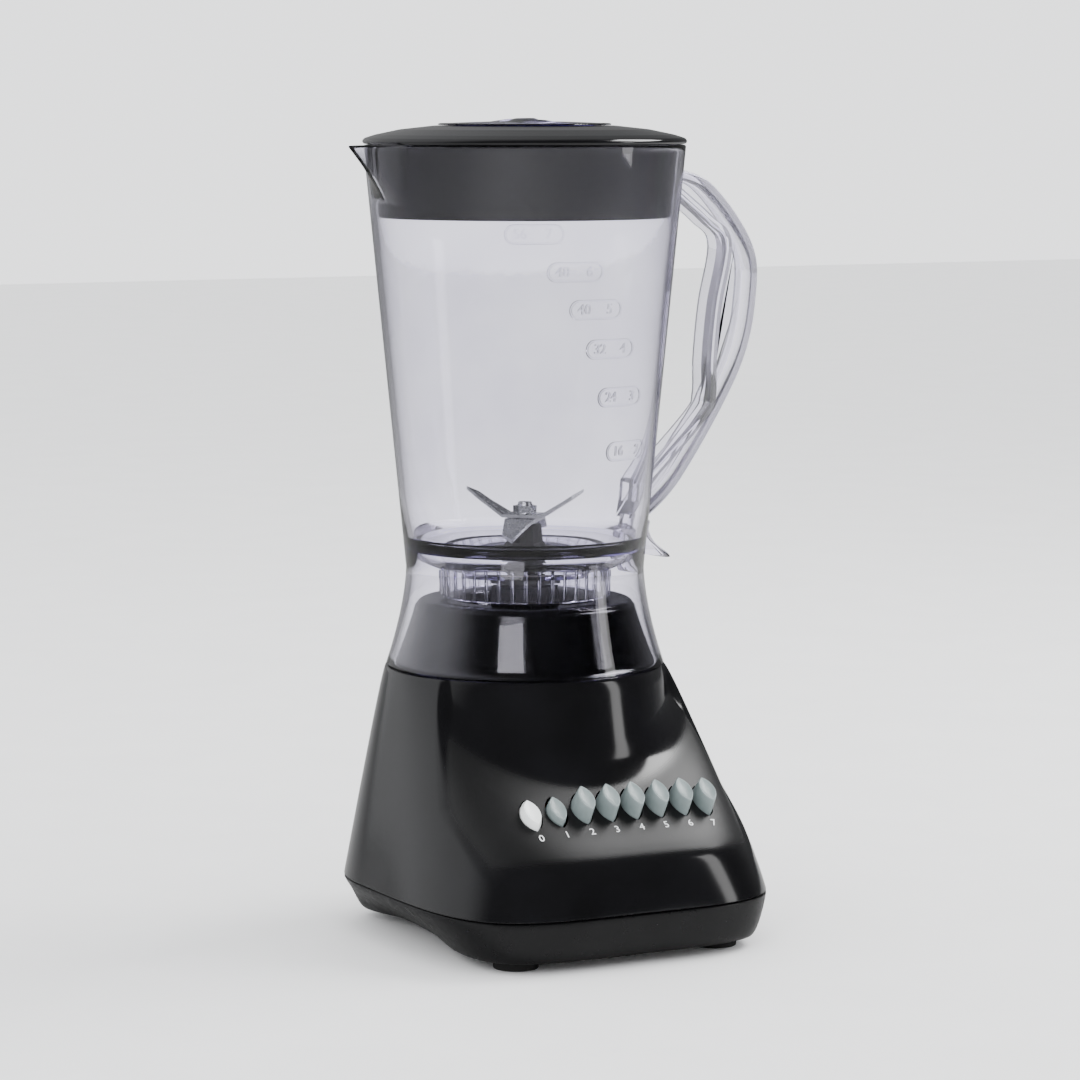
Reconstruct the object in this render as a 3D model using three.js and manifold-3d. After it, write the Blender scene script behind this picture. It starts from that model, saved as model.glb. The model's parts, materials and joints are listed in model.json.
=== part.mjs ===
// Countertop blender, as an assembly of separate solids. Millimetres, +Z up.
// The jar's axis is X = Y = 0 while the pieces are made; the control panel faces -Y, the spout points
// along -X and the handle along +X. The finished group is moved so that its origin is the middle of
// the underside of its bounding box.
import * as THREE from "three";
import { mergeVertices } from "three/addons/utils/BufferGeometryUtils.js";
import Module from "manifold-3d";

const wasm = await Module();
wasm.setup();

// ---------------------------------------------------------------------------------------------
// Driving dimensions
// ---------------------------------------------------------------------------------------------
const GAP = 0.3; // between pieces that touch
const RUNNING = 0.1; // radial clearance of a shaft in its bush
const OVERRUN = 5; // how far a cutter runs past the wall it cuts

const FOOT_HEIGHT = 5;
const FOOT_RADIUS = 10.5;
const FOOT_FRONT_SIDE_INSET = 34.5; // from the sides of the base to the front feet
const FOOT_REAR_SIDE_INSET = 50.5; // and to the rear feet
const FOOT_FRONT_INSET = 27; // from the front of the base to the front feet
const FOOT_REAR_INSET = 27; // from the back of the base to the rear feet
const FOOT_PEG_RADIUS = 3;
const VENT_COUNT = 8; // air slots under the motor
const VENT_LENGTH = 24;
const VENT_WIDTH = 3;
const VENT_SPREAD = 49; // from the first slot to the last

const WALL = 3; // housing, cover and jar walls
const COVER_HEIGHT = 19;
const COVER_INSET = 5; // how far the cover's underside stands in from the seam, at its corners
const COVER_SIDE_INSET = 24.5; // and along its sides, where it is cut up between the corners
const COVER_SIDE_START = THREE.MathUtils.degToRad(28); // the side cut begins and ends here,
const COVER_SIDE_END = THREE.MathUtils.degToRad(128); // counted from the middle of the front
const COVER_SIDE_RAMP = THREE.MathUtils.degToRad(34);
const HOUSING_HEIGHT = 98; // from the seam up to the shoulder that the jar stands on
const BASE_SIDE_MARGIN = 41.4; // from the middle of the last key in a centred row to the side of the base
const BASE_FRONT_REACH = 51.3; // from the shoulder to the front of the base
const FRONT_SQUARENESS = 4.28; // exponent of the plan curve at the seam, in front and behind
const REAR_SQUARENESS = 2.45;

const PANEL_TILT = THREE.MathUtils.degToRad(38);
const PANEL_SIDE_INSET = 8.5; // from the sides of the base to the sides of the panel
const PANEL_SQUARENESS = 4;
const PANEL_SILL_INSET = 7.2; // the panel's front edge, behind the front of the base
const PANEL_SILL_RISE = 26; // the same edge, above the seam
const SILL_ROUNDING = 5;
const TOWER_FILLET = 16;
const TOWER_TAPER = 0.17;
const TOWER_INSET = 0.4; // the tower's front, behind the edge of the shoulder
const SCOOP_HALF_ANGLE = THREE.MathUtils.degToRad(50); // where the scoop meets the side wings
const SCOOP_WIDEST_RISE = 44;
const SCOOP_RISE_SLOPE = THREE.MathUtils.degToRad(0.22); // how its edge opens per mm above that level
const SCOOP_FALL_SLOPE = THREE.MathUtils.degToRad(0.65); // and closes below it
const SCOOP_EDGE_SOFTNESS = THREE.MathUtils.degToRad(5);

const DRUM_HEIGHT = 30.7;
const DRUM_TOP_GAP = 3.6; // between the drum's top edge and the jar's skirt
const DRUM_FOOT_GAP = 0.9;
const CUP_RADIUS = 33; // the hollow in the drum's top that holds the drive coupling
const CUP_DEPTH = 7;

const JAR_HEIGHT = 240.6; // from the skirt's lower edge to the rim
const JAR_WAIST_RISE = 45.4;
const JAR_WAIST_RADIUS = 55.4;
const JAR_SKIRT_FLARE = 9.5;
const JAR_TAPER = 0.0975;
const JAR_FLOOR_RISE = 57;
const WELL_RADIUS = 24.5;
const WELL_DEPTH = 11;
const COLLAR_RADIUS = 39; // ring under the jar's floor, around the coupling
const SPOUT_REACH = 15.5;
const SPOUT_DEPTH = 26;
const SPOUT_HALF_ANGLE = THREE.MathUtils.degToRad(15);
const HANDLE_WIDTH = 18;
const HANDLE_RAIL = 3.6;
const HANDLE_WEB = 5;
const HOOK_WIDTH = 10;

const LID_OVERHANG = 0.6; // the lid's edge, beyond the jar's rim
const LID_EDGE = 2.6;
const LID_RISE = 8.4;
const LID_SKIRT_DEPTH = 33.4;
const LID_WALL = 2.5;
const LID_CLEARANCE = 0.8;
const CAP_RADIUS = 40;
const CAP_RISE = 3.2;
const CAP_CUP_RADIUS = 33;
const CAP_CUP_DEPTH = 20;
const CAP_WALL = 2;

const BUTTON_NAMES = ["off", "low", "high", "speed_1", "speed_2", "speed_3", "speed_4", "speed_5"];
const BUTTON_PITCH = 12.6;
const BUTTON_ROW_SHIFT = 2.5; // the row stands to the right of the middle by this much
const BUTTON_WEB = 2.6; // panel left between two neighbouring slots
const BUTTON_LENGTH = 17.6;
const BUTTON_TAPER = 0.83; // size of a key's top, as a share of its size at the panel
const BUTTON_CLEARANCE = 0.5;
const BUTTON_STAND = 8.2; // a released key, above the panel
const OFF_STAND = 3;
const BUTTON_STROKE = 5.4;
const BUTTON_ROW_UP = 28.6; // from the panel's front edge to the row, along the panel
const BUTTON_FLANGE = 1.3; // how far the retaining flange stands out of the stem
const BUTTON_FLANGE_THICKNESS = 2;
const PLUNGER_LENGTH = 7; // how far a pressed key reaches into its switch
const PLUNGER_HALF = [1.5, 2.5]; // half its size along the row and across it
const SWITCH_DEPTH = 20;
const SWITCH_HALF_BREADTH = 10;
const SWITCH_END = 2.8; // from the middle of the last key to the end of the switch bank
const SWITCH_HEADROOM = 1; // left under a key that is pressed in

const SHAFT_RADIUS = 4;
const ARMATURE_RADIUS = 21;
const AIR_GAP = 0.8;
const STACK_LENGTH = 36;
const STATOR_HALF_X = 40;
const STATOR_HALF_Y = 31;
const COIL_THICKNESS = 5.4;
const COIL_BREADTH = 9.4;
const COIL_OVERHANG = 5;
const COMMUTATOR_RADIUS = 12;
const COMMUTATOR_LENGTH = 13;
const WINDING_OVERHANG = 5.5;
const FAN_RADIUS = 28;
const FAN_LENGTH = 10;
const FAN_HUB_RADIUS = 10;
const FAN_BLADES = 8;
const FAN_RAKE = 12; // degrees that each blade leans from the radius
const BEARING_RADIUS = 8;
const BEARING_LENGTH = 7;
const BRACKET_HALF_Y = 12;
const BRACKET_THICKNESS = 4;
const MOTOR_HEADROOM = 12;
const MOTOR_BOLT_RADIUS = 2;
const MOUNT_RADIUS = 7;
const MOUNT_HEIGHT = 9.4;
const ARMATURE_SLOTS = 12;

const SPINDLE_RADIUS = 3;
const BLADE_THICKNESS = 1.6;
const BLADE_HUB = 9; // half the length of a blade's flat middle
const BLADE_HALF_BREADTH = 7;
const LOCK_NUT_RADIUS = 17;
const CLUTCH_TEETH = 6;
const CLUTCH_RADIUS = 16;
const CLUTCH_DISC = 3.7;
const CLUTCH_TOOTH_LENGTH = 7;
const CLUTCH_TOOTH_DEPTH = 7; // measured in from the rim
const CLUTCH_CLEARANCE = 0.7;
const CLUTCH_TOOTH_ANGLE = THREE.MathUtils.degToRad(27);
const HOLDER_RADIUS = 9.7; // the blade bearing housing, where it passes the jar's floor
const HOLDER_FLANGE_RADIUS = 19;

const SCREW_RADIUS = 2;
const SCREW_HEAD_RADIUS = 4;
const SCREW_HEAD_HEIGHT = 2.2;
const SCREW_LENGTH = 26;
const BOSS_RADIUS = 5;
const GLAND_RADIUS = 7;
const GLAND_BORE = 3.2;
const GLAND_RISE = 10; // above the seam

const FINE = 40; // sides of the jar and the lid
const MEDIUM = 28; // sides of the base's hidden faces
const COARSE = 16; // sides of a small round piece
const HEXAGON = 6;
const TINY = 12; // sides of a screw or a post
const HOUSING_SIDES = 52;
const COVER_SIDES = 44;
const STACK_SIDES = 36; // sides of the armature and of the bore around it
const CURVE_STEPS = 4; // steps in each arc of an extruded outline

// ---------------------------------------------------------------------------------------------
// Levels and radii worked out from the driving dimensions
// ---------------------------------------------------------------------------------------------
const ROW_HALF_LENGTH = ((BUTTON_NAMES.length - 1) / 2) * BUTTON_PITCH;
const BASE_HALF_WIDTH = ROW_HALF_LENGTH + BASE_SIDE_MARGIN;
const PANEL_HALF_WIDTH = BASE_HALF_WIDTH - PANEL_SIDE_INSET;
const SHOULDER_RADIUS = JAR_WAIST_RADIUS + JAR_SKIRT_FLARE;
const BASE_DEPTH_FRONT = SHOULDER_RADIUS + BASE_FRONT_REACH; // from the jar axis to the front
const PANEL_SILL_REACH = BASE_DEPTH_FRONT - PANEL_SILL_INSET;
const SEAM_Z = FOOT_HEIGHT + COVER_HEIGHT;
const SHOULDER_Z = SEAM_Z + HOUSING_HEIGHT;
const DRUM_TOP_Z = SHOULDER_Z + DRUM_HEIGHT;
const SKIRT_Z = SHOULDER_Z + GAP;
const RIM_Z = SKIRT_Z + JAR_HEIGHT;
const WAIST_Z = SKIRT_Z + JAR_WAIST_RISE;
const FLOOR_Z = SKIRT_Z + JAR_FLOOR_RISE;
const WELL_Z = FLOOR_Z - WELL_DEPTH;
const CUP_FLOOR_Z = DRUM_TOP_Z - CUP_DEPTH;
const COVER_FLOOR_Z = FOOT_HEIGHT + WALL;

const clamp01 = (value) => Math.min(Math.max(value, 0), 1);
const smoothStep = (value) => value * value * (3 - 2 * value);

// Outer radius of the clear jar: a straight taper above the waist, a flared skirt below it.
function jarRadius(z) {
  if (z >= WAIST_Z) return JAR_WAIST_RADIUS + JAR_TAPER * (z - WAIST_Z);
  return JAR_WAIST_RADIUS + JAR_SKIRT_FLARE * ((WAIST_Z - z) / JAR_WAIST_RISE) ** 1.6;
}

// The drum follows the inside of the jar's skirt, with a gap that grows towards its top.
function drumRadius(z) {
  const rise = clamp01((z - SHOULDER_Z) / DRUM_HEIGHT);
  return jarRadius(z) - WALL - DRUM_FOOT_GAP - (DRUM_TOP_GAP - DRUM_FOOT_GAP) * rise;
}

// Smaller and larger of two values, blended where they come within `reach` of each other.
function smoothMin(a, b, reach) {
  const near = Math.max(reach - Math.abs(a - b), 0) / reach;
  return Math.min(a, b) - (near * near * reach) / 4;
}
const smoothMax = (a, b, reach) => -smoothMin(-a, -b, reach);

// Polar radius of a superellipse with half axes a (along X) and b (along Y).
function superellipse(angle, a, b, exponent) {
  const across = Math.abs(Math.cos(angle)) / a;
  const along = Math.abs(Math.sin(angle)) / b;
  return (across ** exponent + along ** exponent) ** (-1 / exponent);
}

// Plan curve of the base at height z, without the scoop: squarish in front, round behind.
function baseRadius(z, angle) {
  const drop = clamp01((SHOULDER_Z - z) / HOUSING_HEIGHT);
  const halfWidth = SHOULDER_RADIUS + (BASE_HALF_WIDTH - SHOULDER_RADIUS) * drop;
  if (Math.sin(angle) > 0) {
    return superellipse(angle, halfWidth, SHOULDER_RADIUS, 2 + (REAR_SQUARENESS - 2) * Math.sqrt(drop));
  }
  const reach = SHOULDER_RADIUS + (BASE_DEPTH_FRONT - SHOULDER_RADIUS) * (1 - (1 - drop) ** 1.45);
  return superellipse(angle, halfWidth, reach, 2 + (FRONT_SQUARENESS - 2) * drop ** 0.8);
}

// Front of the control panel at height z: a superellipse that moves back as the panel rises.
function panelRadius(z, angle) {
  const reach = PANEL_SILL_REACH - (z - SEAM_Z - PANEL_SILL_RISE) / Math.tan(PANEL_TILT);
  return superellipse(angle, PANEL_HALF_WIDTH, Math.max(reach, 1), PANEL_SQUARENESS);
}

// Outside of the upper housing, with the scoop for the panel and the conical tower behind it.
function housingRadius(z, angle) {
  const outer = baseRadius(z, angle);
  if (Math.sin(angle) > 0) return outer;
  const fromFront = Math.abs(angle + Math.PI / 2);
  const aboveWidest = z - SEAM_Z - SCOOP_WIDEST_RISE;
  const edge = SCOOP_HALF_ANGLE + aboveWidest * (aboveWidest > 0 ? SCOOP_RISE_SLOPE : SCOOP_FALL_SLOPE);
  const tower = SHOULDER_RADIUS - TOWER_INSET + TOWER_TAPER * (SHOULDER_Z - z);
  const scooped = smoothMax(panelRadius(z, angle), tower, TOWER_FILLET);
  const inside = smoothStep(clamp01((edge - fromFront) / SCOOP_EDGE_SOFTNESS + 0.5));
  return outer + inside * (smoothMin(outer, scooped, SILL_ROUNDING) - outer);
}

// Inside of the same wall. The drop keeps the sloping panel as thick as the upright walls.
const WALL_DROP = (WALL * (1 - Math.sin(PANEL_TILT))) / Math.cos(PANEL_TILT);
const housingInnerRadius = (z, angle) => housingRadius(z + WALL_DROP, angle) - WALL;

// Outside and inside of the bottom cover, which curves in under the seam.
function coverRadius(z, angle) {
  const drop = clamp01((SEAM_Z - z) / COVER_HEIGHT);
  const fromFront = Math.abs(Math.atan2(Math.cos(angle), -Math.sin(angle)));
  const risen = smoothStep(clamp01((fromFront - COVER_SIDE_START) / COVER_SIDE_RAMP));
  const side = risen * smoothStep(clamp01((COVER_SIDE_END - fromFront) / COVER_SIDE_RAMP));
  const cornerInset = COVER_INSET * (1 - Math.sqrt(1 - drop * drop));
  const sideInset = COVER_SIDE_INSET * drop ** 1.3;
  return baseRadius(SEAM_Z, angle) - cornerInset - side * (sideInset - cornerInset);
}
const coverInnerRadius = (z, angle) => coverRadius(z - 0.6 * WALL, angle) - WALL;

// ---------------------------------------------------------------------------------------------
// Making solids
// ---------------------------------------------------------------------------------------------
function solidOf(geometry) {
  const bare = new THREE.BufferGeometry().setAttribute("position", geometry.getAttribute("position"));
  if (geometry.index) bare.setIndex(geometry.index);
  const merged = mergeVertices(bare, 1e-4);
  return new wasm.Manifold(
    new wasm.Mesh({
      numProp: 3,
      vertProperties: merged.attributes.position.array,
      triVerts: new Uint32Array(merged.index.array),
    }),
  );
}

function geometryOf(solid) {
  const mesh = solid.getMesh();
  const geometry = new THREE.BufferGeometry();
  geometry.setAttribute("position", new THREE.BufferAttribute(mesh.vertProperties, 3));
  geometry.setIndex(new THREE.BufferAttribute(mesh.triVerts, 1));
  geometry.computeVertexNormals();
  return geometry;
}

const join = (first, ...others) => others.reduce((sum, next) => sum.add(next), first);
const cut = (first, ...others) => others.reduce((rest, next) => rest.subtract(next), first);

function box(x0, x1, y0, y1, z0, z1) {
  const geometry = new THREE.BoxGeometry(x1 - x0, y1 - y0, z1 - z0);
  return solidOf(geometry.translate((x0 + x1) / 2, (y0 + y1) / 2, (z0 + z1) / 2));
}

function rod(radius, z0, z1, x = 0, y = 0, sides = COARSE, topRadius = radius) {
  const geometry = new THREE.CylinderGeometry(topRadius, radius, z1 - z0, sides);
  return solidOf(geometry.rotateX(Math.PI / 2).translate(x, y, (z0 + z1) / 2));
}

const ring = (inner, outer, z0, z1, x = 0, y = 0, sides = COARSE) =>
  cut(rod(outer, z0, z1, x, y, sides), rod(inner, z0 - 1, z1 + 1, x, y, sides));

// Turns a closed outline of [radius, height] points about Z. `shape` may move each vertex.
function turned(outline, sides, shape) {
  const area = outline.reduce((sum, [r, z], i) => {
    const [nextR, nextZ] = outline[(i + 1) % outline.length];
    return sum + r * nextZ - nextR * z;
  }, 0);
  const ordered = area > 0 ? outline : [...outline].reverse();
  const points = [...ordered, ordered[0]].map(([r, z]) => new THREE.Vector2(r, z));
  const geometry = new THREE.LatheGeometry(points, sides).rotateX(Math.PI / 2);
  if (shape) shape(geometry.getAttribute("position"));
  return solidOf(geometry);
}

// A closed column whose cross-section at each level is the polar curve radiusAt(z, angle).
function column(radiusAt, levels, sides) {
  const geometry = new THREE.CylinderGeometry(1, 1, levels.length - 1, sides, levels.length - 1);
  geometry.rotateX(Math.PI / 2).translate(0, 0, (levels.length - 1) / 2);
  const position = geometry.getAttribute("position");
  for (let i = 0; i < position.count; i++) {
    const x = position.getX(i);
    const y = position.getY(i);
    const z = levels[Math.round(position.getZ(i))];
    const radius = Math.hypot(x, y) < 0.5 ? 0 : radiusAt(z, Math.atan2(y, x));
    const length = Math.hypot(x, y) || 1;
    position.setXYZ(i, (x / length) * radius, (y / length) * radius, z);
  }
  return solidOf(geometry);
}

function spaced(start, end, steps) {
  return Array.from({ length: steps + 1 }, (_, i) => start + ((end - start) * i) / steps);
}

const shapeOf = (points) => new THREE.Shape(points.map(([x, y]) => new THREE.Vector2(x, y)));

// Extrudes an outline drawn in X and Y from z0 to z1. `taper` is the top's size over the foot's.
function slab(shape, z0, z1, taper = 1) {
  const geometry = new THREE.ExtrudeGeometry(shape, {
    depth: z1 - z0,
    bevelEnabled: false,
    curveSegments: CURVE_STEPS,
  });
  const position = geometry.getAttribute("position");
  for (let i = 0; i < position.count; i++) {
    const scale = position.getZ(i) > 0 ? taper : 1;
    position.setXY(i, position.getX(i) * scale, position.getY(i) * scale);
  }
  return solidOf(geometry.translate(0, 0, z0));
}

// Extrudes an outline drawn in X and Z to the given width, centred on Y = 0.
function standingSlab(shape, width) {
  const geometry = new THREE.ExtrudeGeometry(shape, {
    depth: width,
    bevelEnabled: false,
    curveSegments: CURVE_STEPS,
  });
  return solidOf(geometry.translate(0, 0, -width / 2).rotateX(Math.PI / 2));
}

const plastic = (color, roughness) => new THREE.MeshStandardMaterial({ color, roughness, metalness: 0 });
const metal = (color, roughness) => new THREE.MeshStandardMaterial({ color, roughness, metalness: 1 });
const clear = (color, opacity) =>
  new THREE.MeshStandardMaterial({ color, roughness: 0.05, metalness: 0, transparent: true, opacity });

const MATERIALS = {
  glossBlack: plastic(0x111214, 0.12),
  satinBlack: plastic(0x1a1b1d, 0.4),
  jarClear: clear(0xe3e2f2, 0.3),
  capClear: clear(0xb9b4dc, 0.45),
  keyGrey: plastic(0x7f8b8b, 0.4),
  keyWhite: plastic(0xeef1f0, 0.35),
  rubber: plastic(0x18181a, 0.85),
  steel: metal(0xc4c6c8, 0.25),
  laminations: metal(0x6f7275, 0.5),
  copper: metal(0xb4673a, 0.35),
  bronze: metal(0xa9793f, 0.45),
  zinc: metal(0xa9acae, 0.45),
  carbon: plastic(0x2b2b2d, 0.7),
  phenolic: plastic(0x4a2f22, 0.5),
  nylon: plastic(0xd8d4c6, 0.5),
};

const blender = new THREE.Group();

function addPart(parent, name, solid, material, place = [0, 0, 0]) {
  const mesh = new THREE.Mesh(geometryOf(solid), material);
  mesh.name = name;
  mesh.position.set(...place);
  parent.add(mesh);
}

// ---------------------------------------------------------------------------------------------
// Base: where things stand on its floor
// ---------------------------------------------------------------------------------------------
const FOOT_PLACES = [
  [FOOT_FRONT_SIDE_INSET - BASE_HALF_WIDTH, FOOT_FRONT_INSET - BASE_DEPTH_FRONT],
  [BASE_HALF_WIDTH - FOOT_FRONT_SIDE_INSET, FOOT_FRONT_INSET - BASE_DEPTH_FRONT],
  [FOOT_REAR_SIDE_INSET - BASE_HALF_WIDTH, SHOULDER_RADIUS - FOOT_REAR_INSET],
  [BASE_HALF_WIDTH - FOOT_REAR_SIDE_INSET, SHOULDER_RADIUS - FOOT_REAR_INSET],
];
const SCREW_FRONT_INSET = 24; // from the sides of the base to the front screws
const SCREW_REAR_ANGLE = THREE.MathUtils.degToRad(20); // back from the sides, to the rear screws
const SCREW_FRONT_SPAN = 17; // from the front feet back to the front screws
const SCREW_REAR_REACH = SHOULDER_RADIUS - WALL - BOSS_RADIUS / 2; // their bosses meet the shoulder
const SCREW_PLACES = [
  [SCREW_FRONT_INSET - BASE_HALF_WIDTH, FOOT_FRONT_INSET - BASE_DEPTH_FRONT + SCREW_FRONT_SPAN],
  [BASE_HALF_WIDTH - SCREW_FRONT_INSET, FOOT_FRONT_INSET - BASE_DEPTH_FRONT + SCREW_FRONT_SPAN],
  [-SCREW_REAR_REACH * Math.cos(SCREW_REAR_ANGLE), SCREW_REAR_REACH * Math.sin(SCREW_REAR_ANGLE)],
  [SCREW_REAR_REACH * Math.cos(SCREW_REAR_ANGLE), SCREW_REAR_REACH * Math.sin(SCREW_REAR_ANGLE)],
];
const BOSS_RISE = 14; // above the floor of the cover
const BOSS_Z = COVER_FLOOR_Z + BOSS_RISE; // where the cover's posts meet the housing's bosses

// ---------------------------------------------------------------------------------------------
// Control panel: a frame with X along the row, Y up the slope and Z out of the panel
// ---------------------------------------------------------------------------------------------
const ROW_Y = -PANEL_SILL_REACH + BUTTON_ROW_UP * Math.cos(PANEL_TILT);
const ROW_Z = SEAM_Z + PANEL_SILL_RISE + BUTTON_ROW_UP * Math.sin(PANEL_TILT);
const onPanel = (solid) =>
  solid.rotate([THREE.MathUtils.radToDeg(PANEL_TILT), 0, 0]).translate([0, ROW_Y, ROW_Z]);
const rowX = (i) => BUTTON_ROW_SHIFT + i * BUTTON_PITCH - ROW_HALF_LENGTH;
const BUTTON_WIDTH = BUTTON_PITCH - BUTTON_WEB - 2 * BUTTON_CLEARANCE;
const ROW_END = rowX(BUTTON_NAMES.length - 1) + BUTTON_WIDTH / 2 + BUTTON_FLANGE;

// The panel bows down towards its sides; this is by how much, at a place along the row of keys.
function panelSag(x) {
  const share = 1 - (Math.abs(x) / PANEL_HALF_WIDTH) ** PANEL_SQUARENESS;
  return -ROW_Y * (1 - share ** (1 / PANEL_SQUARENESS)) * Math.sin(PANEL_TILT);
}
const PANEL_UNDERSIDE = -(panelSag(ROW_END) + WALL);
const FLANGE_TOP = PANEL_UNDERSIDE - GAP;
const SWITCH_TOP = FLANGE_TOP - BUTTON_FLANGE_THICKNESS - BUTTON_STROKE - SWITCH_HEADROOM;
const SWITCH_HALF_LENGTH = ROW_HALF_LENGTH + SWITCH_END;
const UNDER_ROW_HALF = BUTTON_LENGTH / 2 + BUTTON_FLANGE + 2; // flat seat for the keys' flanges
const SWITCH_POST_RADIUS = 2;
const SWITCH_POST_UP = UNDER_ROW_HALF + SWITCH_POST_RADIUS + 0.5; // from the row, up and down the slope
const SWITCH_POST_ALONG = [-1, 1].map((side) => BUTTON_ROW_SHIFT + (side * ROW_HALF_LENGTH) / 2);
const SWITCH_STRAP = 3; // thickness of the straps that carry the switch bank

// A pointed oval, as long as the key, drawn with one arc on each side.
function leaf(length, width) {
  const arcRadius = (length * length + width * width) / (4 * width);
  const halfAngle = Math.asin(length / 2 / arcRadius);
  const shape = new THREE.Shape();
  shape.absarc(width / 2 - arcRadius, 0, arcRadius, -halfAngle, halfAngle, false);
  shape.absarc(arcRadius - width / 2, 0, arcRadius, Math.PI - halfAngle, Math.PI + halfAngle, false);
  return shape;
}

// One key: cap and stem in one, a flange that keeps it in the panel and a plunger for the switch.
function button(x, standsOut, heldDown) {
  const top = standsOut - heldDown - panelSag(x);
  const flangeTop = FLANGE_TOP - heldDown;
  const flangeFoot = flangeTop - BUTTON_FLANGE_THICKNESS;
  const [alongRow, acrossRow] = PLUNGER_HALF;
  const plungerFoot = SWITCH_TOP - PLUNGER_LENGTH + BUTTON_STROKE - heldDown;
  return join(
    slab(leaf(BUTTON_LENGTH, BUTTON_WIDTH), flangeTop - 0.5, top, BUTTON_TAPER),
    slab(leaf(BUTTON_LENGTH + 2 * BUTTON_FLANGE, BUTTON_WIDTH + 2 * BUTTON_FLANGE), flangeFoot, flangeTop),
    box(-alongRow, alongRow, -acrossRow, acrossRow, plungerFoot, flangeTop - 0.5),
  );
}

// ---------------------------------------------------------------------------------------------
// Upper housing
// ---------------------------------------------------------------------------------------------
function upperHousing() {
  const sillZ = SEAM_Z + PANEL_SILL_RISE;
  const levels = [
    ...spaced(SEAM_Z + GAP, sillZ - 5, 1),
    ...spaced(sillZ - 2, SHOULDER_Z - 34, 9),
    ...spaced(SHOULDER_Z - 26, SHOULDER_Z, 3),
  ];
  const innerLevels = [
    SEAM_Z - OVERRUN,
    sillZ - 4,
    ...spaced(sillZ, SHOULDER_Z - 34, 4),
    ...spaced(SHOULDER_Z - 20, SHOULDER_Z - WALL, 1),
  ];
  const drumLevels = spaced(SHOULDER_Z, DRUM_TOP_Z, 3);
  const drumOutline = [
    [0, SHOULDER_Z - 1],
    [drumRadius(SHOULDER_Z), SHOULDER_Z - 1],
    ...drumLevels.map((z) => [drumRadius(z), z]),
    [0, DRUM_TOP_Z],
  ];
  const drumHollow = [
    [0, SHOULDER_Z - WALL - 2],
    [drumRadius(SHOULDER_Z) - WALL, SHOULDER_Z - WALL - 2],
    ...drumLevels.slice(0, -1).map((z) => [drumRadius(z) - WALL, z]),
    [drumRadius(DRUM_TOP_Z) - WALL, DRUM_TOP_Z - WALL],
    [0, DRUM_TOP_Z - WALL],
  ];
  const outside = join(column(housingRadius, levels, HOUSING_SIDES), turned(drumOutline, FINE));
  const hollow = join(column(housingInnerRadius, innerLevels, MEDIUM), turned(drumHollow, MEDIUM));
  const bosses = SCREW_PLACES.map(([x, y]) =>
    rod(BOSS_RADIUS, BOSS_Z, SHOULDER_Z, x, y, TINY).intersect(outside),
  );
  const posts = SWITCH_POST_ALONG.flatMap((x) =>
    [-1, 1].map((side) => {
      const top = -panelSag(x) - WALL / 4;
      const post = rod(SWITCH_POST_RADIUS, SWITCH_TOP + GAP, top, x, side * SWITCH_POST_UP, TINY);
      return onPanel(post).intersect(outside);
    }),
  );
  const slots = BUTTON_NAMES.map((_, i) =>
    onPanel(
      slab(
        leaf(BUTTON_LENGTH + 2 * BUTTON_CLEARANCE, BUTTON_WIDTH + 2 * BUTTON_CLEARANCE),
        PANEL_UNDERSIDE - 2,
        OVERRUN,
      ).translate([rowX(i), 0, 0]),
    ),
  );
  const rowStart = 2 * BUTTON_ROW_SHIFT - ROW_END;
  const underRow = onPanel(
    box(rowStart, ROW_END, -UNDER_ROW_HALF, UNDER_ROW_HALF, SWITCH_TOP, PANEL_UNDERSIDE),
  );
  const pilotHoles = SCREW_PLACES.map(([x, y]) =>
    rod(SCREW_RADIUS + GAP, BOSS_Z - 1, FOOT_HEIGHT + SCREW_LENGTH + 4, x, y, TINY),
  );
  const cup = rod(CUP_RADIUS + WALL, CUP_FLOOR_Z - WALL, DRUM_TOP_Z, 0, 0, MEDIUM);
  const shell = join(cut(outside, hollow, underRow), ...bosses, ...posts, cup);
  return cut(
    shell,
    rod(CUP_RADIUS, CUP_FLOOR_Z, DRUM_TOP_Z + 1, 0, 0, MEDIUM),
    rod(SEAL_RADIUS + GAP, CUP_FLOOR_Z - WALL - 1, CUP_FLOOR_Z + 1),
    glandBore(GLAND_RADIUS + GAP),
    ...slots,
    ...pilotHoles,
  );
}

// ---------------------------------------------------------------------------------------------
// Bottom cover, feet and screws
// ---------------------------------------------------------------------------------------------
const MOTOR_BOLT_INSET = 5.5; // from the sides of the stator
const MOTOR_BOLT_X = STATOR_HALF_X - MOTOR_BOLT_INSET;

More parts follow.
